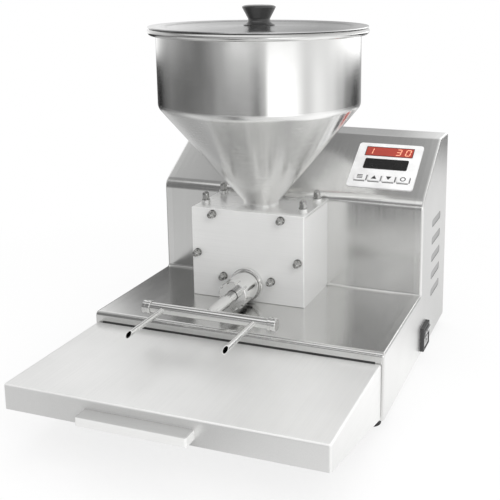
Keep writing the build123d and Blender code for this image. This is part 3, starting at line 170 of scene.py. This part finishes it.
def facing(tree, axis):
    """How far a face looks along the named axis, either way, from 0 to 1."""
    surface = tree.nodes.new("ShaderNodeNewGeometry")
    axes = tree.nodes.new("ShaderNodeSeparateXYZ")
    tree.links.new(surface.outputs["Normal"], axes.inputs["Vector"])
    return calculate(tree, "ABSOLUTE", axes.outputs[axis], 0.0)


def paint_edge_highlights(material, edge_metallic, flat_metallic):
    """Painted highlights on the rounded edges of a square piece: they are made less metallic, so paler, than
    its flat faces.
    """
    tree = material.node_tree
    flattest = calculate(tree, "MAXIMUM", facing(tree, "X"), facing(tree, "Y"))
    flattest = calculate(tree, "MAXIMUM", flattest, facing(tree, "Z"))
    shader = tree.nodes["Principled BSDF"]
    metallic = spread(tree, flattest, edge_metallic, flat_metallic, ROUND_TURN, FLAT_TURN)
    tree.links.new(metallic, shader.inputs["Metallic"])


def paint_shade_on_faces(material, axis, gain):
    """Painted shade: makes the faces that look along the named axis darker."""
    tree = material.node_tree
    colour = tree.nodes["Principled BSDF"].inputs["Base Color"]
    shade = tree.nodes.new("ShaderNodeVectorMath")
    shade.operation = "SCALE"
    tree.links.new(colour.links[0].from_socket, shade.inputs[0])
    tree.links.new(spread(tree, facing(tree, axis), 1.0, gain), shade.inputs["Scale"])
    tree.links.new(shade.outputs["Vector"], colour)


def side_panel_steel(name, colour, grain=900.0, streak=0.05):
    """Satin steel on the faces that look sideways; the lips beside the deck are as glossy as the deck."""
    material, tree, shader = new_material(name)
    sideways = facing(tree, "X")
    tree.links.new(spread(tree, sideways, 1.0, SIDE_METALLIC), shader.inputs["Metallic"])
    lines = noise(tree, (grain, grain, grain / GRAIN_STRETCH), detail=3.0, roughness=0.7)
    steel_tone(tree, shader, colour, spread(tree, sideways, HOUSING_GLOSS, SIDE_GLOSS), lines, streak)
    return material


def line_noise(tree, value, waves):
    """Noise between 0 and 1 along one value, with so many waves per unit."""
    node = tree.nodes.new("ShaderNodeTexNoise")
    node.noise_dimensions = "1D"
    node.inputs["Scale"].default_value = waves
    node.inputs["Detail"].default_value = 3.0
    tree.links.new(value, node.inputs["W"])
    return node.outputs["Fac"]


def turned_marks(tree, rings, wedges):
    """Polish marks round the hopper's axis: rings per metre of radius and height, wedges per radian."""
    offset = tree.nodes.new("ShaderNodeVectorMath")
    offset.operation = "SUBTRACT"
    offset.inputs[1].default_value = HOPPER_AXIS
    tree.links.new(coordinates(tree, (1.0, 1.0, 1.0)), offset.inputs[0])
    axes = tree.nodes.new("ShaderNodeSeparateXYZ")
    tree.links.new(offset.outputs["Vector"], axes.inputs["Vector"])
    squares = [calculate(tree, "MULTIPLY", axes.outputs[axis], axes.outputs[axis]) for axis in "XY"]
    radius = calculate(tree, "SQRT", calculate(tree, "ADD", *squares), 0.0)
    marks = line_noise(tree, calculate(tree, "ADD", radius, axes.outputs["Z"]), rings)
    if not wedges:
        return marks
    angle = calculate(tree, "ARCTAN2", axes.outputs["Y"], axes.outputs["X"])
    both = calculate(tree, "ADD", marks, line_noise(tree, angle, wedges))
    return calculate(tree, "MULTIPLY", both, 0.5)


def spun_steel(name, colour, roughness, stretch, rings, streak, wedges=0.0):
    """Steel polished round an upright axis: its gloss spreads along the wall, and rings and wedges show."""
    material, tree, shader = new_material(name)
    shader.inputs["Metallic"].default_value = 1.0
    shader.inputs["Anisotropic"].default_value = stretch
    shader.inputs["Anisotropic Rotation"].default_value = QUARTER_TURN
    tangent = tree.nodes.new("ShaderNodeTangent")
    tangent.direction_type = "RADIAL"
    tangent.axis = "Z"
    tree.links.new(tangent.outputs["Tangent"], shader.inputs["Tangent"])
    steel_tone(tree, shader, colour, roughness, turned_marks(tree, rings, wedges), streak)
    return material


def plastic(name, colour, roughness, grain=2500.0, strength=0.06, coat=0.0):
    """Moulded plastic: fine grain in its surface, slightly uneven gloss and tone."""
    material, tree, shader = new_material(name)
    shader.inputs["Coat Weight"].default_value = coat
    grains = noise(tree, (grain, grain, grain))
    clouds = noise(tree, MOULD_CLOUDS, detail=4.0)
    share = spread(tree, clouds, 0.0, 1.0)
    tone = blend_colours(tree, share, tinted(colour, MOULD_DARK), tinted(colour, MOULD_LIGHT))
    tree.links.new(tone, shader.inputs["Base Color"])
    gloss = spread(tree, clouds, roughness - MOULD_GLOSS, roughness + MOULD_GLOSS)
    tree.links.new(gloss, shader.inputs["Roughness"])
    relief(tree, shader, grains, MOULD_GRAIN_DEPTH, strength)
    return material


def glowing(name, colour, strength):
    """Lit segment of a display."""
    material, tree, shader = new_material(name)
    shader.inputs["Base Color"].default_value = (*colour, 1.0)
    shader.inputs["Roughness"].default_value = 0.4
    shader.inputs["Emission Color"].default_value = (*colour, 1.0)
    shader.inputs["Emission Strength"].default_value = strength
    return material


# Materials
housing_steel = brushed_steel("housing_steel", (0.80, 0.80, 0.79), HOUSING_GLOSS, "YZ")
side_steel = side_panel_steel("side_steel", (0.84, 0.84, 0.83))
shelf_steel = brushed_steel("shelf_steel", (0.94, 0.94, 0.93), 0.36, "Y")
# Painted highlights: the tray's rounded edges are made paler than its flat faces
paint_edge_highlights(shelf_steel, edge_metallic=0.08, flat_metallic=0.58)
# Painted shade: the tray's front faces are made darker
paint_shade_on_faces(shelf_steel, "Y", gain=0.86)
pull_steel = brushed_steel("pull_steel", (0.89, 0.89, 0.88), 0.36, "X", metallic=0.1)
# Painted shade: the pull's top is made darker than its front
paint_shade_on_faces(pull_steel, "Z", gain=0.52)
pump_steel = brushed_steel("pump_steel", (0.96, 0.96, 0.95), 0.36, "X")
# Painted highlights: the pump's rounded edges are made paler than its flat faces
paint_edge_highlights(pump_steel, edge_metallic=0.22, flat_metallic=0.34)
flange_steel = brushed_steel("flange_steel", (0.95, 0.95, 0.94), 0.30, "X", metallic=0.8)
hopper_steel = spun_steel("hopper_steel", (0.83, 0.83, 0.82), 0.15, 0.9, rings=1400.0, streak=0.03)
cone_steel = spun_steel("cone_steel", (0.94, 0.94, 0.93), 0.23, 0.8, rings=1400.0, streak=0.03)
lid_steel = spun_steel("lid_steel", (0.76, 0.76, 0.76), 0.14, 0.8, rings=150.0, streak=0.35, wedges=3.0)
bright_steel = brushed_steel("bright_steel", (0.88, 0.88, 0.87), 0.14, "X", streak=0.02)
nut_steel = brushed_steel("nut_steel", (0.45, 0.45, 0.44), 0.12, "Z", streak=0.02)
screw_steel = brushed_steel("screw_steel", (0.62, 0.62, 0.61), 0.32, "Z")
gear_steel = brushed_steel("gear_steel", (0.66, 0.66, 0.67), 0.30, "Y")
bronze = brushed_steel("bronze", (0.72, 0.50, 0.26), 0.35, "Y")
alloy = brushed_steel("alloy", (0.66, 0.67, 0.68), 0.45, "X", grain=500.0)
pale_rubber = plastic("pale_rubber", (0.72, 0.71, 0.68), 0.75)
black_rubber = plastic("black_rubber", (0.025, 0.025, 0.026), 0.70, strength=0.15)
black_plastic = plastic("black_plastic", (0.005, 0.005, 0.005), 0.12, strength=0.02)
knob_plastic = plastic("knob_plastic", (0.040, 0.040, 0.040), 0.22, strength=0.02, coat=0.6)
bezel_plastic = plastic("bezel_plastic", (0.045, 0.045, 0.046), 0.35)
rocker_plastic = plastic("rocker_plastic", (0.20, 0.20, 0.20), 0.12, strength=0.02, coat=1.0)
panel_white = plastic("panel_white", (0.88, 0.88, 0.88), 0.35)
window_red = plastic("window_red", (0.46, 0.060, 0.040), 0.15, strength=0.0, coat=0.5)
label_black = plastic("label_black", (0.010, 0.010, 0.010), 0.25, strength=0.02)
key_white = plastic("key_white", (0.88, 0.88, 0.88), 0.45)
board_green = plastic("board_green", (0.03, 0.20, 0.09), 0.45)
motor_paint = plastic("motor_paint", (0.10, 0.11, 0.13), 0.40)
# Dark of the printed marks, and of the painted shade strip at the shelf's joint
print_and_shade_dark = plastic("print_and_shade_dark", (0.045, 0.045, 0.045), 0.5)
# Grey of the painted shadows beside the keys
key_shadow_grey = plastic("key_shadow_grey", (0.13, 0.13, 0.13), 0.5)
frame_dark = plastic("frame_dark", (0.030, 0.012, 0.010), 0.3)
louvre_grey = brushed_steel("louvre_grey", (0.46, 0.46, 0.46), 0.5, "Y", metallic=0.2)
digit_glow = glowing("digit_glow", (0.86, 0.38, 0.24), strength=0.40)

finishes = {
    housing_steel: ["deck_cover", "housing_cover", "rear_panel", "bottom_plate"],
    side_steel: ["side_panel_left", "side_panel_right"],
    shelf_steel: ["drip_tray", "tray_rails"],
    pull_steel: ["tray_handle"],
    pump_steel: ["pump_body", "pump_cover", "pump_mount_plate", "motor_bracket"],
    flange_steel: ["hopper_flange"],
    hopper_steel: ["hopper_wall"],
    cone_steel: ["hopper_cone"],
    lid_steel: ["lid"],
    nut_steel: ["dome_nuts"],
    bright_steel: [
        "outlet_spigot",
        "union_nut",
        "manifold",
        "needle_left",
        "needle_right",
        "end_cap_left",
        "end_cap_right",
    ],
    screw_steel: [
        "rear_panel_screws",
        "foot_screws",
        "studs",
        "pump_mount_screws",
        "lid_knob_screw",
    ],
    gear_steel: ["drive_gear", "idler_gear", "drive_shaft", "idler_shaft", "gearbox_shaft"],
    bronze: ["shaft_bushes"],
    alloy: ["gearbox", "coupling_hubs", "power_supply"],
    pale_rubber: ["cover_seal", "hopper_gasket", "shaft_seal", "union_seal"],
    black_rubber: ["feet", "coupling_spider"],
    knob_plastic: ["lid_knob"],
    black_plastic: ["power_inlet", "display_module", "key_switches"],
    bezel_plastic: ["switch_bezel"],
    rocker_plastic: ["switch_rocker"],
    panel_white: ["control_panel"],
    window_red: ["display_window"],
    label_black: ["label_plate"],
    key_white: ["key_1", "key_2", "key_3", "key_4"],
    board_green: ["control_board"],
    motor_paint: ["motor"],
}
for finish, names in finishes.items():
    for name in names:
        nodes[name].data.materials.clear()
        nodes[name].data.materials.append(finish)

# Directions on the sloping control face, read from the panel's own front
panel_front = max(nodes["control_panel"].data.polygons, key=lambda polygon: polygon.area)
OUTWARD = panel_front.normal.copy()
if OUTWARD.z < 0.0:
    OUTWARD.negate()
ACROSS = Vector((1.0, 0.0, 0.0))
UPWARD = OUTWARD.cross(ACROSS)
FACE_DEPTH = 0.02 * MM
MARK_RISE = 0.12 * MM


def outer_face(name, across, upward):
    """Middle, width and height of a node's outermost face, seen along the third direction."""
    outward = across.cross(upward)
    place = nodes[name].matrix_world
    points = [place @ vertex.co for vertex in nodes[name].data.vertices]
    top = max(point.dot(outward) for point in points)
    face = [point for point in points if point.dot(outward) > top - FACE_DEPTH]
    sideways = [point.dot(across) for point in face]
    heights = [point.dot(upward) for point in face]
    middle = across * (min(sideways) + max(sideways)) / 2 + upward * (min(heights) + max(heights)) / 2
    return middle + outward * top, max(sideways) - min(sideways), max(heights) - min(heights)


def plates(name, outlines, middle, material, body, across=ACROSS, upward=UPWARD):
    """Thin raised marks on a face: outlines drawn across and upward from its middle."""
    outward = across.cross(upward)
    shape = bmesh.new()
    for outline in outlines:
        corners = [middle + across * x + upward * y for x, y in outline]
        low = [shape.verts.new(corner) for corner in corners]
        high = [shape.verts.new(corner + outward * MARK_RISE) for corner in corners]
        shape.faces.new(high)
        for start in range(len(corners)):
            follow = (start + 1) % len(corners)
            shape.faces.new((low[start], low[follow], high[follow], high[start]))
    mesh = bpy.data.meshes.new(name)
    shape.to_mesh(mesh)
    shape.free()
    mesh.materials.append(material)
    piece = bpy.data.objects.new(name, mesh)
    bpy.context.collection.objects.link(piece)
    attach(piece, body)


def bar(x, y, width, height):
    """Outline of an upright rectangle round a point."""
    return [
        (x - width / 2, y - height / 2),
        (x + width / 2, y - height / 2),
        (x + width / 2, y + height / 2),
        (x - width / 2, y + height / 2),
    ]


def border(width, height, line):
    """Four bars that edge a rectangle on its inside."""
    return [
        bar(0.0, (height - line) / 2, width, line),
        bar(0.0, (line - height) / 2, width, line),
        bar((line - width) / 2, 0.0, line, height - 2 * line),
        bar((width - line) / 2, 0.0, line, height - 2 * line),
    ]


def triangle(width, height, direction):
    """Triangle that points up for direction 1 and down for -1."""
    base = -direction * height / 2
    corners = [(-width / 2, base), (width / 2, base), (0.0, -base)]
    return corners if direction > 0 else corners[::-1]


def circle_band(radius, line, steps=24):
    """Short quads that make a ring."""
    quads = []
    for step in range(steps):
        start = tau * step / steps
        end = tau * (step + 1) / steps
        inner = radius - line
        quads.append(
            [
                (inner * cos(start), inner * sin(start)),
                (radius * cos(start), radius * sin(start)),
                (radius * cos(end), radius * sin(end)),
                (inner * cos(end), inner * sin(end)),
            ]
        )
    return quads


# Lit digits and the dark edge of the display window
DIGIT_WIDTH = 5.6 * MM
DIGIT_HEIGHT = 10.0 * MM
SEGMENT_LINE = 1.3 * MM
SEGMENT_GAP = 0.15 * MM
DIGIT_SLANT = 0.12
DIGIT_PITCH = 12.3 * MM
WINDOW_EDGE = 0.8 * MM
SEGMENT_ENDS = {
    "top": ((-1, 1), (1, 1)),
    "middle": ((-1, 0), (1, 0)),
    "bottom": ((-1, -1), (1, -1)),
    "upper_left": ((-1, 0), (-1, 1)),
    "lower_left": ((-1, -1), (-1, 0)),
    "upper_right": ((1, 0), (1, 1)),
    "lower_right": ((1, -1), (1, 0)),
}
LIT_SEGMENTS = {
    "1": ["upper_right", "lower_right"],
    "3": ["top", "middle", "bottom", "upper_right", "lower_right"],
    "0": ["top", "bottom", "upper_left", "lower_left", "upper_right", "lower_right"],
}


def segment(ends):
    """Slanted six-sided bar between two corners of a digit."""
    start, end = [Vector((x * DIGIT_WIDTH / 2, y * DIGIT_HEIGHT / 2)) for x, y in ends]
    along = (end - start).normalized()
    beside = Vector((-along.y, along.x)) * SEGMENT_LINE / 2
    tip_start = start + along * SEGMENT_GAP
    tip_end = end - along * SEGMENT_GAP
    bevel = along * SEGMENT_LINE / 2
    corners = [
        tip_start,
        tip_start + bevel - beside,
        tip_end - bevel - beside,
        tip_end,
        tip_end - bevel + beside,
        tip_start + bevel + beside,
    ]
    return [(corner.x + DIGIT_SLANT * corner.y, corner.y) for corner in corners]


window_middle, window_width, window_height = outer_face("display_window", ACROSS, UPWARD)
plates(
    "window_edge",
    border(window_width, window_height, WINDOW_EDGE),
    window_middle,
    frame_dark,
    "machine",
)
for place, figure in ((-2, "1"), (1, "3"), (2, "0")):
    plates(
        f"digit_{figure}",
        [segment(SEGMENT_ENDS[name]) for name in LIT_SEGMENTS[figure]],
        window_middle + ACROSS * place * DIGIT_PITCH,
        digit_glow,
        "machine",
    )

# Key symbols, and a painted shadow line beside each key, on its right and lower side
SYMBOL_SIZE = 7.2 * MM
SYMBOL_LINE = 1.2 * MM
TRIANGLE_HEIGHT = 0.8 * SYMBOL_SIZE
SHADE_WIDTH = 1.1 * MM
SHADE_GAP = 0.9 * MM
key_symbols = {
    "key_1": [bar(0.0, row * 2 * SYMBOL_LINE, SYMBOL_SIZE, SYMBOL_LINE) for row in (-1, 0, 1)],
    "key_2": [triangle(SYMBOL_SIZE, TRIANGLE_HEIGHT, 1)],
    "key_3": [triangle(SYMBOL_SIZE, TRIANGLE_HEIGHT, -1)],
    "key_4": circle_band(SYMBOL_SIZE / 2, SYMBOL_LINE),
}
panel_middle, _, _ = outer_face("control_panel", ACROSS, UPWARD)
for key, symbol in key_symbols.items():
    key_middle, key_width, key_height = outer_face(key, ACROSS, UPWARD)
    plates(f"{key}_symbol", symbol, key_middle, print_and_shade_dark, key)
    foot = key_middle - OUTWARD * (key_middle - panel_middle).dot(OUTWARD)
    # Painted shadow: grey strips on the panel right of and below the key
    shade_x = key_width / 2 + SHADE_GAP + SHADE_WIDTH / 2
    shade_y = -key_height / 2 - SHADE_GAP - SHADE_WIDTH / 2
    shades = [bar(shade_x, 0.0, SHADE_WIDTH, key_height), bar(0.0, shade_y, key_width, SHADE_WIDTH)]
    plates(f"{key}_shade", shades, foot, key_shadow_grey, "machine")

# Painted shade: a dark strip on the base's front at the shelf's top, where the gap between them lies in
# shadow
GAP_SHADE_HEIGHT = 2.6 * MM
GAP_SHADE_SINK = 0.8 * MM
_, tray_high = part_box("drip_tray")
deck_low, deck_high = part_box("deck_cover")
gap_shade_middle = Vector((0.0, deck_low[1], tray_high[2] - GAP_SHADE_SINK + GAP_SHADE_HEIGHT / 2))
SKYWARD = Vector((0.0, 0.0, 1.0))
plates(
    "shelf_gap_shade",
    [bar(0.0, 0.0, deck_high[0] - deck_low[0], GAP_SHADE_HEIGHT)],
    gap_shade_middle,
    print_and_shade_dark,
    "machine",
    upward=SKYWARD,
)

# Pale louvres in the vent slots of the right side
VENT_COUNT = 5
VENT_PITCH = 23.2 * MM
LOUVRE_LENGTH = 51.4 * MM
LOUVRE_HEIGHT = 9.2 * MM
LOUVRE_MIDDLE = Vector((174.3, 183.0, 120.4)) * MM
REARWARD = Vector((0.0, 1.0, 0.0))


def round_ended_bar(y, length, height, steps=8):
    """Outline of a level bar with half-round ends, at a height."""
    radius = height / 2
    outline = []
    for side in (1, -1):
        for step in range(steps + 1):
            angle = tau * (step / steps - 0.5) / 2
            x = side * (length / 2 - radius + radius * cos(angle))
            outline.append((x, y + side * radius * sin(angle)))
    return outline


louvre_rows = [(row - (VENT_COUNT - 1) / 2) * VENT_PITCH for row in range(VENT_COUNT)]
plates(
    "vent_louvres",
    [round_ended_bar(row, LOUVRE_LENGTH, LOUVRE_HEIGHT) for row in louvre_rows],
    LOUVRE_MIDDLE,
    louvre_grey,
    "machine",
    across=REARWARD,
    upward=SKYWARD,
)

# Marks on the two flats of the rocker
ROCKER_MARK = 6.0 * MM
ROCKER_LINE = 1.2 * MM
OUTER_FLAT_TURN = 0.9
UPPER_FLAT_TURN = -0.1
rocker_bar = [bar(0.0, 0.0, ROCKER_LINE, ROCKER_MARK)]
rocker_ring = circle_band(ROCKER_MARK / 2, ROCKER_LINE)
rocker_place = nodes["switch_rocker"].matrix_world
rocker_flats = {}
for polygon in nodes["switch_rocker"].data.polygons:
    if polygon.normal.x > OUTER_FLAT_TURN:
        rocker_flats.setdefault(polygon.normal.z < UPPER_FLAT_TURN, []).append(polygon)
for is_upper, flats in rocker_flats.items():
    area = sum(polygon.area for polygon in flats)
    middle = sum((polygon.center * polygon.area for polygon in flats), Vector()) / area
    plates(
        "rocker_mark_on" if is_upper else "rocker_mark_off",
        rocker_bar if is_upper else rocker_ring,
        rocker_place @ middle,
        print_and_shade_dark,
        "switch_rocker",
        across=REARWARD,
        upward=flats[0].normal.cross(REARWARD),
    )

# Camera
CAMERA_AZIMUTH = radians(19.3)
CAMERA_ELEVATION = radians(11.6)
CAMERA_PLACE = Vector((0.3847, -0.8705, 0.4760))
camera_data = bpy.data.cameras.new("camera")
camera_data.lens = 61.5
camera_data.sensor_width = 36.0
camera_data.shift_x = -0.140
camera_data.shift_y = -0.200
camera = bpy.data.objects.new("camera", camera_data)
back = Vector(
    (
        sin(CAMERA_AZIMUTH) * cos(CAMERA_ELEVATION),
        -cos(CAMERA_AZIMUTH) * cos(CAMERA_ELEVATION),
        sin(CAMERA_ELEVATION),
    )
)
right = Vector((cos(CAMERA_AZIMUTH), sin(CAMERA_AZIMUTH), 0.0))
up = back.cross(right)
camera.matrix_world = Matrix.Translation(CAMERA_PLACE) @ Matrix((right, up, back)).transposed().to_4x4()
bpy.context.collection.objects.link(camera)
bpy.context.scene.camera = camera


def seen_directly(tree):
    """1 for the rays that carry the picture: camera, mirror and glass rays."""
    rays = tree.nodes.new("ShaderNodeLightPath")
    seen = calculate(tree, "MAXIMUM", rays.outputs["Is Camera Ray"], rays.outputs["Is Glossy Ray"])
    return calculate(tree, "MAXIMUM", seen, rays.outputs["Is Transmission Ray"])


# Floor, white far away and matt white with soft shadows near the machine
FLOOR_SIZE = 60.0
SHADOW_REACH = 0.40
WHITE_REACH = 0.80
NEAR_WHITE = 0.78
bpy.ops.mesh.primitive_plane_add(size=FLOOR_SIZE, location=(0.0, 0.0, 0.0))
floor = bpy.context.object
floor.name = "floor"
floor_material, floor_tree, floor_shader = new_material("floor")
floor_shader.inputs["Base Color"].default_value = (0.93, 0.93, 0.93, 1.0)
floor_shader.inputs["Roughness"].default_value = 0.9
floor_shader.inputs["Specular IOR Level"].default_value = 0.0
floor_place = floor_tree.nodes.new("ShaderNodeTexCoord")
floor_distance = floor_tree.nodes.new("ShaderNodeVectorMath")
floor_distance.operation = "LENGTH"
floor_tree.links.new(floor_place.outputs["Object"], floor_distance.inputs[0])
far_away = spread(floor_tree, floor_distance.outputs["Value"], NEAR_WHITE, 1.0, SHADOW_REACH, WHITE_REACH)
white = floor_tree.nodes.new("ShaderNodeEmission")
floor_mix = floor_tree.nodes.new("ShaderNodeMixShader")
white_share = calculate(floor_tree, "MULTIPLY", seen_directly(floor_tree), far_away)
floor_tree.links.new(white_share, floor_mix.inputs["Fac"])
floor_tree.links.new(floor_shader.outputs["BSDF"], floor_mix.inputs[1])
floor_tree.links.new(white.outputs["Emission"], floor_mix.inputs[2])
floor_tree.links.new(floor_mix.outputs["Shader"], floor_tree.nodes["Material Output"].inputs["Surface"])
floor_material.cycles.emission_sampling = "NONE"
floor.data.materials.append(floor_material)

# Studio light
AMBIENT = 0.72
world = bpy.data.worlds.new("studio")
world.use_nodes = True
world_tree = world.node_tree
world_tree.nodes["Background"].inputs["Color"].default_value = (1.0, 1.0, 1.0, 1.0)
world_level = spread(world_tree, seen_directly(world_tree), AMBIENT, 1.0, 0.0, 1.0)
world_tree.links.new(world_level, world_tree.nodes["Background"].inputs["Strength"])
world.cycles.sampling_method = "NONE"
bpy.context.scene.world = world


def softbox(name, place, aim, size, power):
    """Square area lamp that points at a place."""
    light = bpy.data.lights.new(name, "AREA")
    light.size = size
    light.energy = power
    lamp = bpy.data.objects.new(name, light)
    lamp.location = place
    lamp.rotation_euler = (Vector(aim) - Vector(place)).to_track_quat("-Z", "Y").to_euler()
    lamp.visible_glossy = False
    bpy.context.collection.objects.link(lamp)


softbox("key", place=(1.2, -1.2, 1.3), aim=(0.0, 0.0, 0.2), size=1.2, power=16.0)
softbox("top", place=(0.0, 0.1, 1.6), aim=(0.0, 0.1, 0.0), size=1.4, power=8.0)


# Light tent that the steel mirrors
TENT_RADIUS = 0.80
TENT_FLOOR = 0.002
TENT_STEPS = 96
HORIZON_MARGIN = 0.001
COMPASS = (-180.0, 180.0)

# Brightness by the compass, with 0 degrees to the right and 90 to the rear, in four bands from the ground up
TENT_GROUND = [
    (-180, 0.36),
    (-150, 0.66),
    (-118, 0.52),
    (-95, 0.20),
    (-75, 0.70),
    (25, 1.12),
    (55, 0.72),
    (80, 0.95),
    (140, 0.60),
    (165, 0.36),
    (180, 0.36),
]
TENT_LOW = [
    (-180, 0.18),
    (-152, 0.14),
    (-121, 0.18),
    (-110, 0.32),
    (-80, 0.32),
    (-69, 0.12),
    (-62, 0.42),
    (-55, 1.80),
    (-32, 1.65),
    (-14, 0.78),
    (0, 1.05),
    (16, 0.85),
    (32, 0.50),
    (44, 0.16),
    (62, 0.03),
    (90, 0.40),
    (138, 0.08),
    (152, 0.02),
    (180, 0.16),
]
TENT_MID = [
    (-180, 0.50),
    (-150, 0.30),
    (-134, 0.20),
    (-112, 0.55),
    (-94, 1.30),
    (-60, 1.10),
    (0, 0.90),
    (60, 2.00),
    (74, 1.80),
    (83, 1.00),
    (92, 0.48),
    (110, 0.48),
    (130, 0.24),
    (140, 1.10),
    (180, 0.50),
]
TENT_HIGH = [
    (-180, 0.60),
    (-134, 0.18),
    (-97, 0.27),
    (-60, 0.50),
    (0, 0.70),
    (70, 0.90),
    (93, 0.62),
    (101, 0.43),
    (112, 0.60),
    (120, 0.66),
    (130, 0.90),
    (138, 0.95),
    (180, 0.60),
]

# Brightness from left to right, in metres, of the roof's rear, its front and the strip between them
TENT_ROOF = [
    (-0.80, 0.60),
    (-0.38, 0.50),
    (-0.20, 0.22),
    (0.00, 0.34),
    (0.15, 0.60),
    (0.80, 0.75),
]
TENT_OVERHEAD = [
    (-0.80, 0.75),
    (-0.30, 1.00),
    (0.00, 1.00),
    (0.80, 0.75),
]
TENT_CREST = [
    (-0.80, 0.40),
    (-0.45, 0.30),
    (-0.10, 0.24),
    (0.10, 0.50),
    (0.80, 0.65),
]

# Heights and depths at which one band passes into the next
LOW_Z = (0.10, 0.16)
MID_Z = (0.31, 0.34)
HIGH_Z = (0.40, 0.42)
ROOF_Z = (0.62, 0.66)
CREST_Y = (-0.20, -0.11)
ROOF_Y = (0.10, 0.17)


def ramp(tree, value, stops, low, high):
    """Brightness that passes through the given stops between two limits."""
    node = tree.nodes.new("ShaderNodeValToRGB")
    node.color_ramp.interpolation = "EASE"
    elements = node.color_ramp.elements
    while len(elements) < len(stops):
        elements.new(0.5)
    for element, (place, brightness) in zip(elements, stops):
        element.position = (place - low) / (high - low)
        element.color = (brightness, brightness, brightness, 1.0)
    tree.links.new(spread(tree, value, 0.0, 1.0, low, high), node.inputs["Fac"])
    return node.outputs["Color"]


def layered(tree, height, limits, below, above):
    """One brightness below a band of heights or depths and another beyond it."""
    node = tree.nodes.new("ShaderNodeMix")
    node.data_type = "RGBA"
    tree.links.new(spread(tree, height, 0.0, 1.0, *limits), node.inputs["Factor"])
    tree.links.new(below, node.inputs["A"])
    tree.links.new(above, node.inputs["B"])
    return node.outputs["Result"]


tent_mesh = bpy.data.meshes.new("light_tent")
dome = bmesh.new()
bmesh.ops.create_uvsphere(dome, u_segments=TENT_STEPS, v_segments=TENT_STEPS // 2, radius=TENT_RADIUS)
lower_half = [vertex for vertex in dome.verts if vertex.co.z < -HORIZON_MARGIN]
bmesh.ops.delete(dome, geom=lower_half, context="VERTS")
tent_ground_place = Matrix.Translation((0.0, 0.0, TENT_FLOOR))
bmesh.ops.create_circle(
    dome, cap_ends=True, segments=TENT_STEPS, radius=TENT_RADIUS, matrix=tent_ground_place
)
dome.to_mesh(tent_mesh)
dome.free()
tent = bpy.data.objects.new("light_tent", tent_mesh)
tent_material = bpy.data.materials.new("light_tent")
tent_material.use_nodes = True
tent_tree = tent_material.node_tree
tent_tree.nodes.clear()
tent_output = tent_tree.nodes.new("ShaderNodeOutputMaterial")
tent_glow = tent_tree.nodes.new("ShaderNodeEmission")
tent_axes = tent_tree.nodes.new("ShaderNodeSeparateXYZ")
tent_tree.links.new(coordinates(tent_tree, (1.0, 1.0, 1.0)), tent_axes.inputs["Vector"])
tent_angle = calculate(tent_tree, "ARCTAN2", tent_axes.outputs["Y"], tent_axes.outputs["X"])
compass = calculate(tent_tree, "MULTIPLY", tent_angle, degrees(1.0))
level = tent_axes.outputs["Z"]
tent_ground = ramp(tent_tree, compass, TENT_GROUND, *COMPASS)
tent_low = ramp(tent_tree, compass, TENT_LOW, *COMPASS)
tent_mid = ramp(tent_tree, compass, TENT_MID, *COMPASS)
tent_high = ramp(tent_tree, compass, TENT_HIGH, *COMPASS)
tent_rear = ramp(tent_tree, tent_axes.outputs["X"], TENT_ROOF, -TENT_RADIUS, TENT_RADIUS)
tent_overhead = ramp(tent_tree, tent_axes.outputs["X"], TENT_OVERHEAD, -TENT_RADIUS, TENT_RADIUS)
tent_crest = ramp(tent_tree, tent_axes.outputs["X"], TENT_CREST, -TENT_RADIUS, TENT_RADIUS)
tent_roof = layered(tent_tree, tent_axes.outputs["Y"], ROOF_Y, tent_crest, tent_rear)
tent_roof = layered(tent_tree, tent_axes.outputs["Y"], CREST_Y, tent_overhead, tent_roof)
tent_light = layered(tent_tree, level, LOW_Z, tent_ground, tent_low)
tent_light = layered(tent_tree, level, MID_Z, tent_light, tent_mid)
tent_light = layered(tent_tree, level, HIGH_Z, tent_light, tent_high)
tent_light = layered(tent_tree, level, ROOF_Z, tent_light, tent_roof)
tent_tree.links.new(tent_light, tent_glow.inputs["Color"])
tent_tree.links.new(tent_glow.outputs["Emission"], tent_output.inputs["Surface"])
tent_material.cycles.emission_sampling = "NONE"
tent_mesh.materials.append(tent_material)
bpy.context.collection.objects.link(tent)
tent.visible_camera = False
tent.visible_diffuse = False
tent.visible_transmission = False
tent.visible_volume_scatter = False
tent.visible_shadow = False

bpy.context.scene.view_settings.view_transform = "Standard"
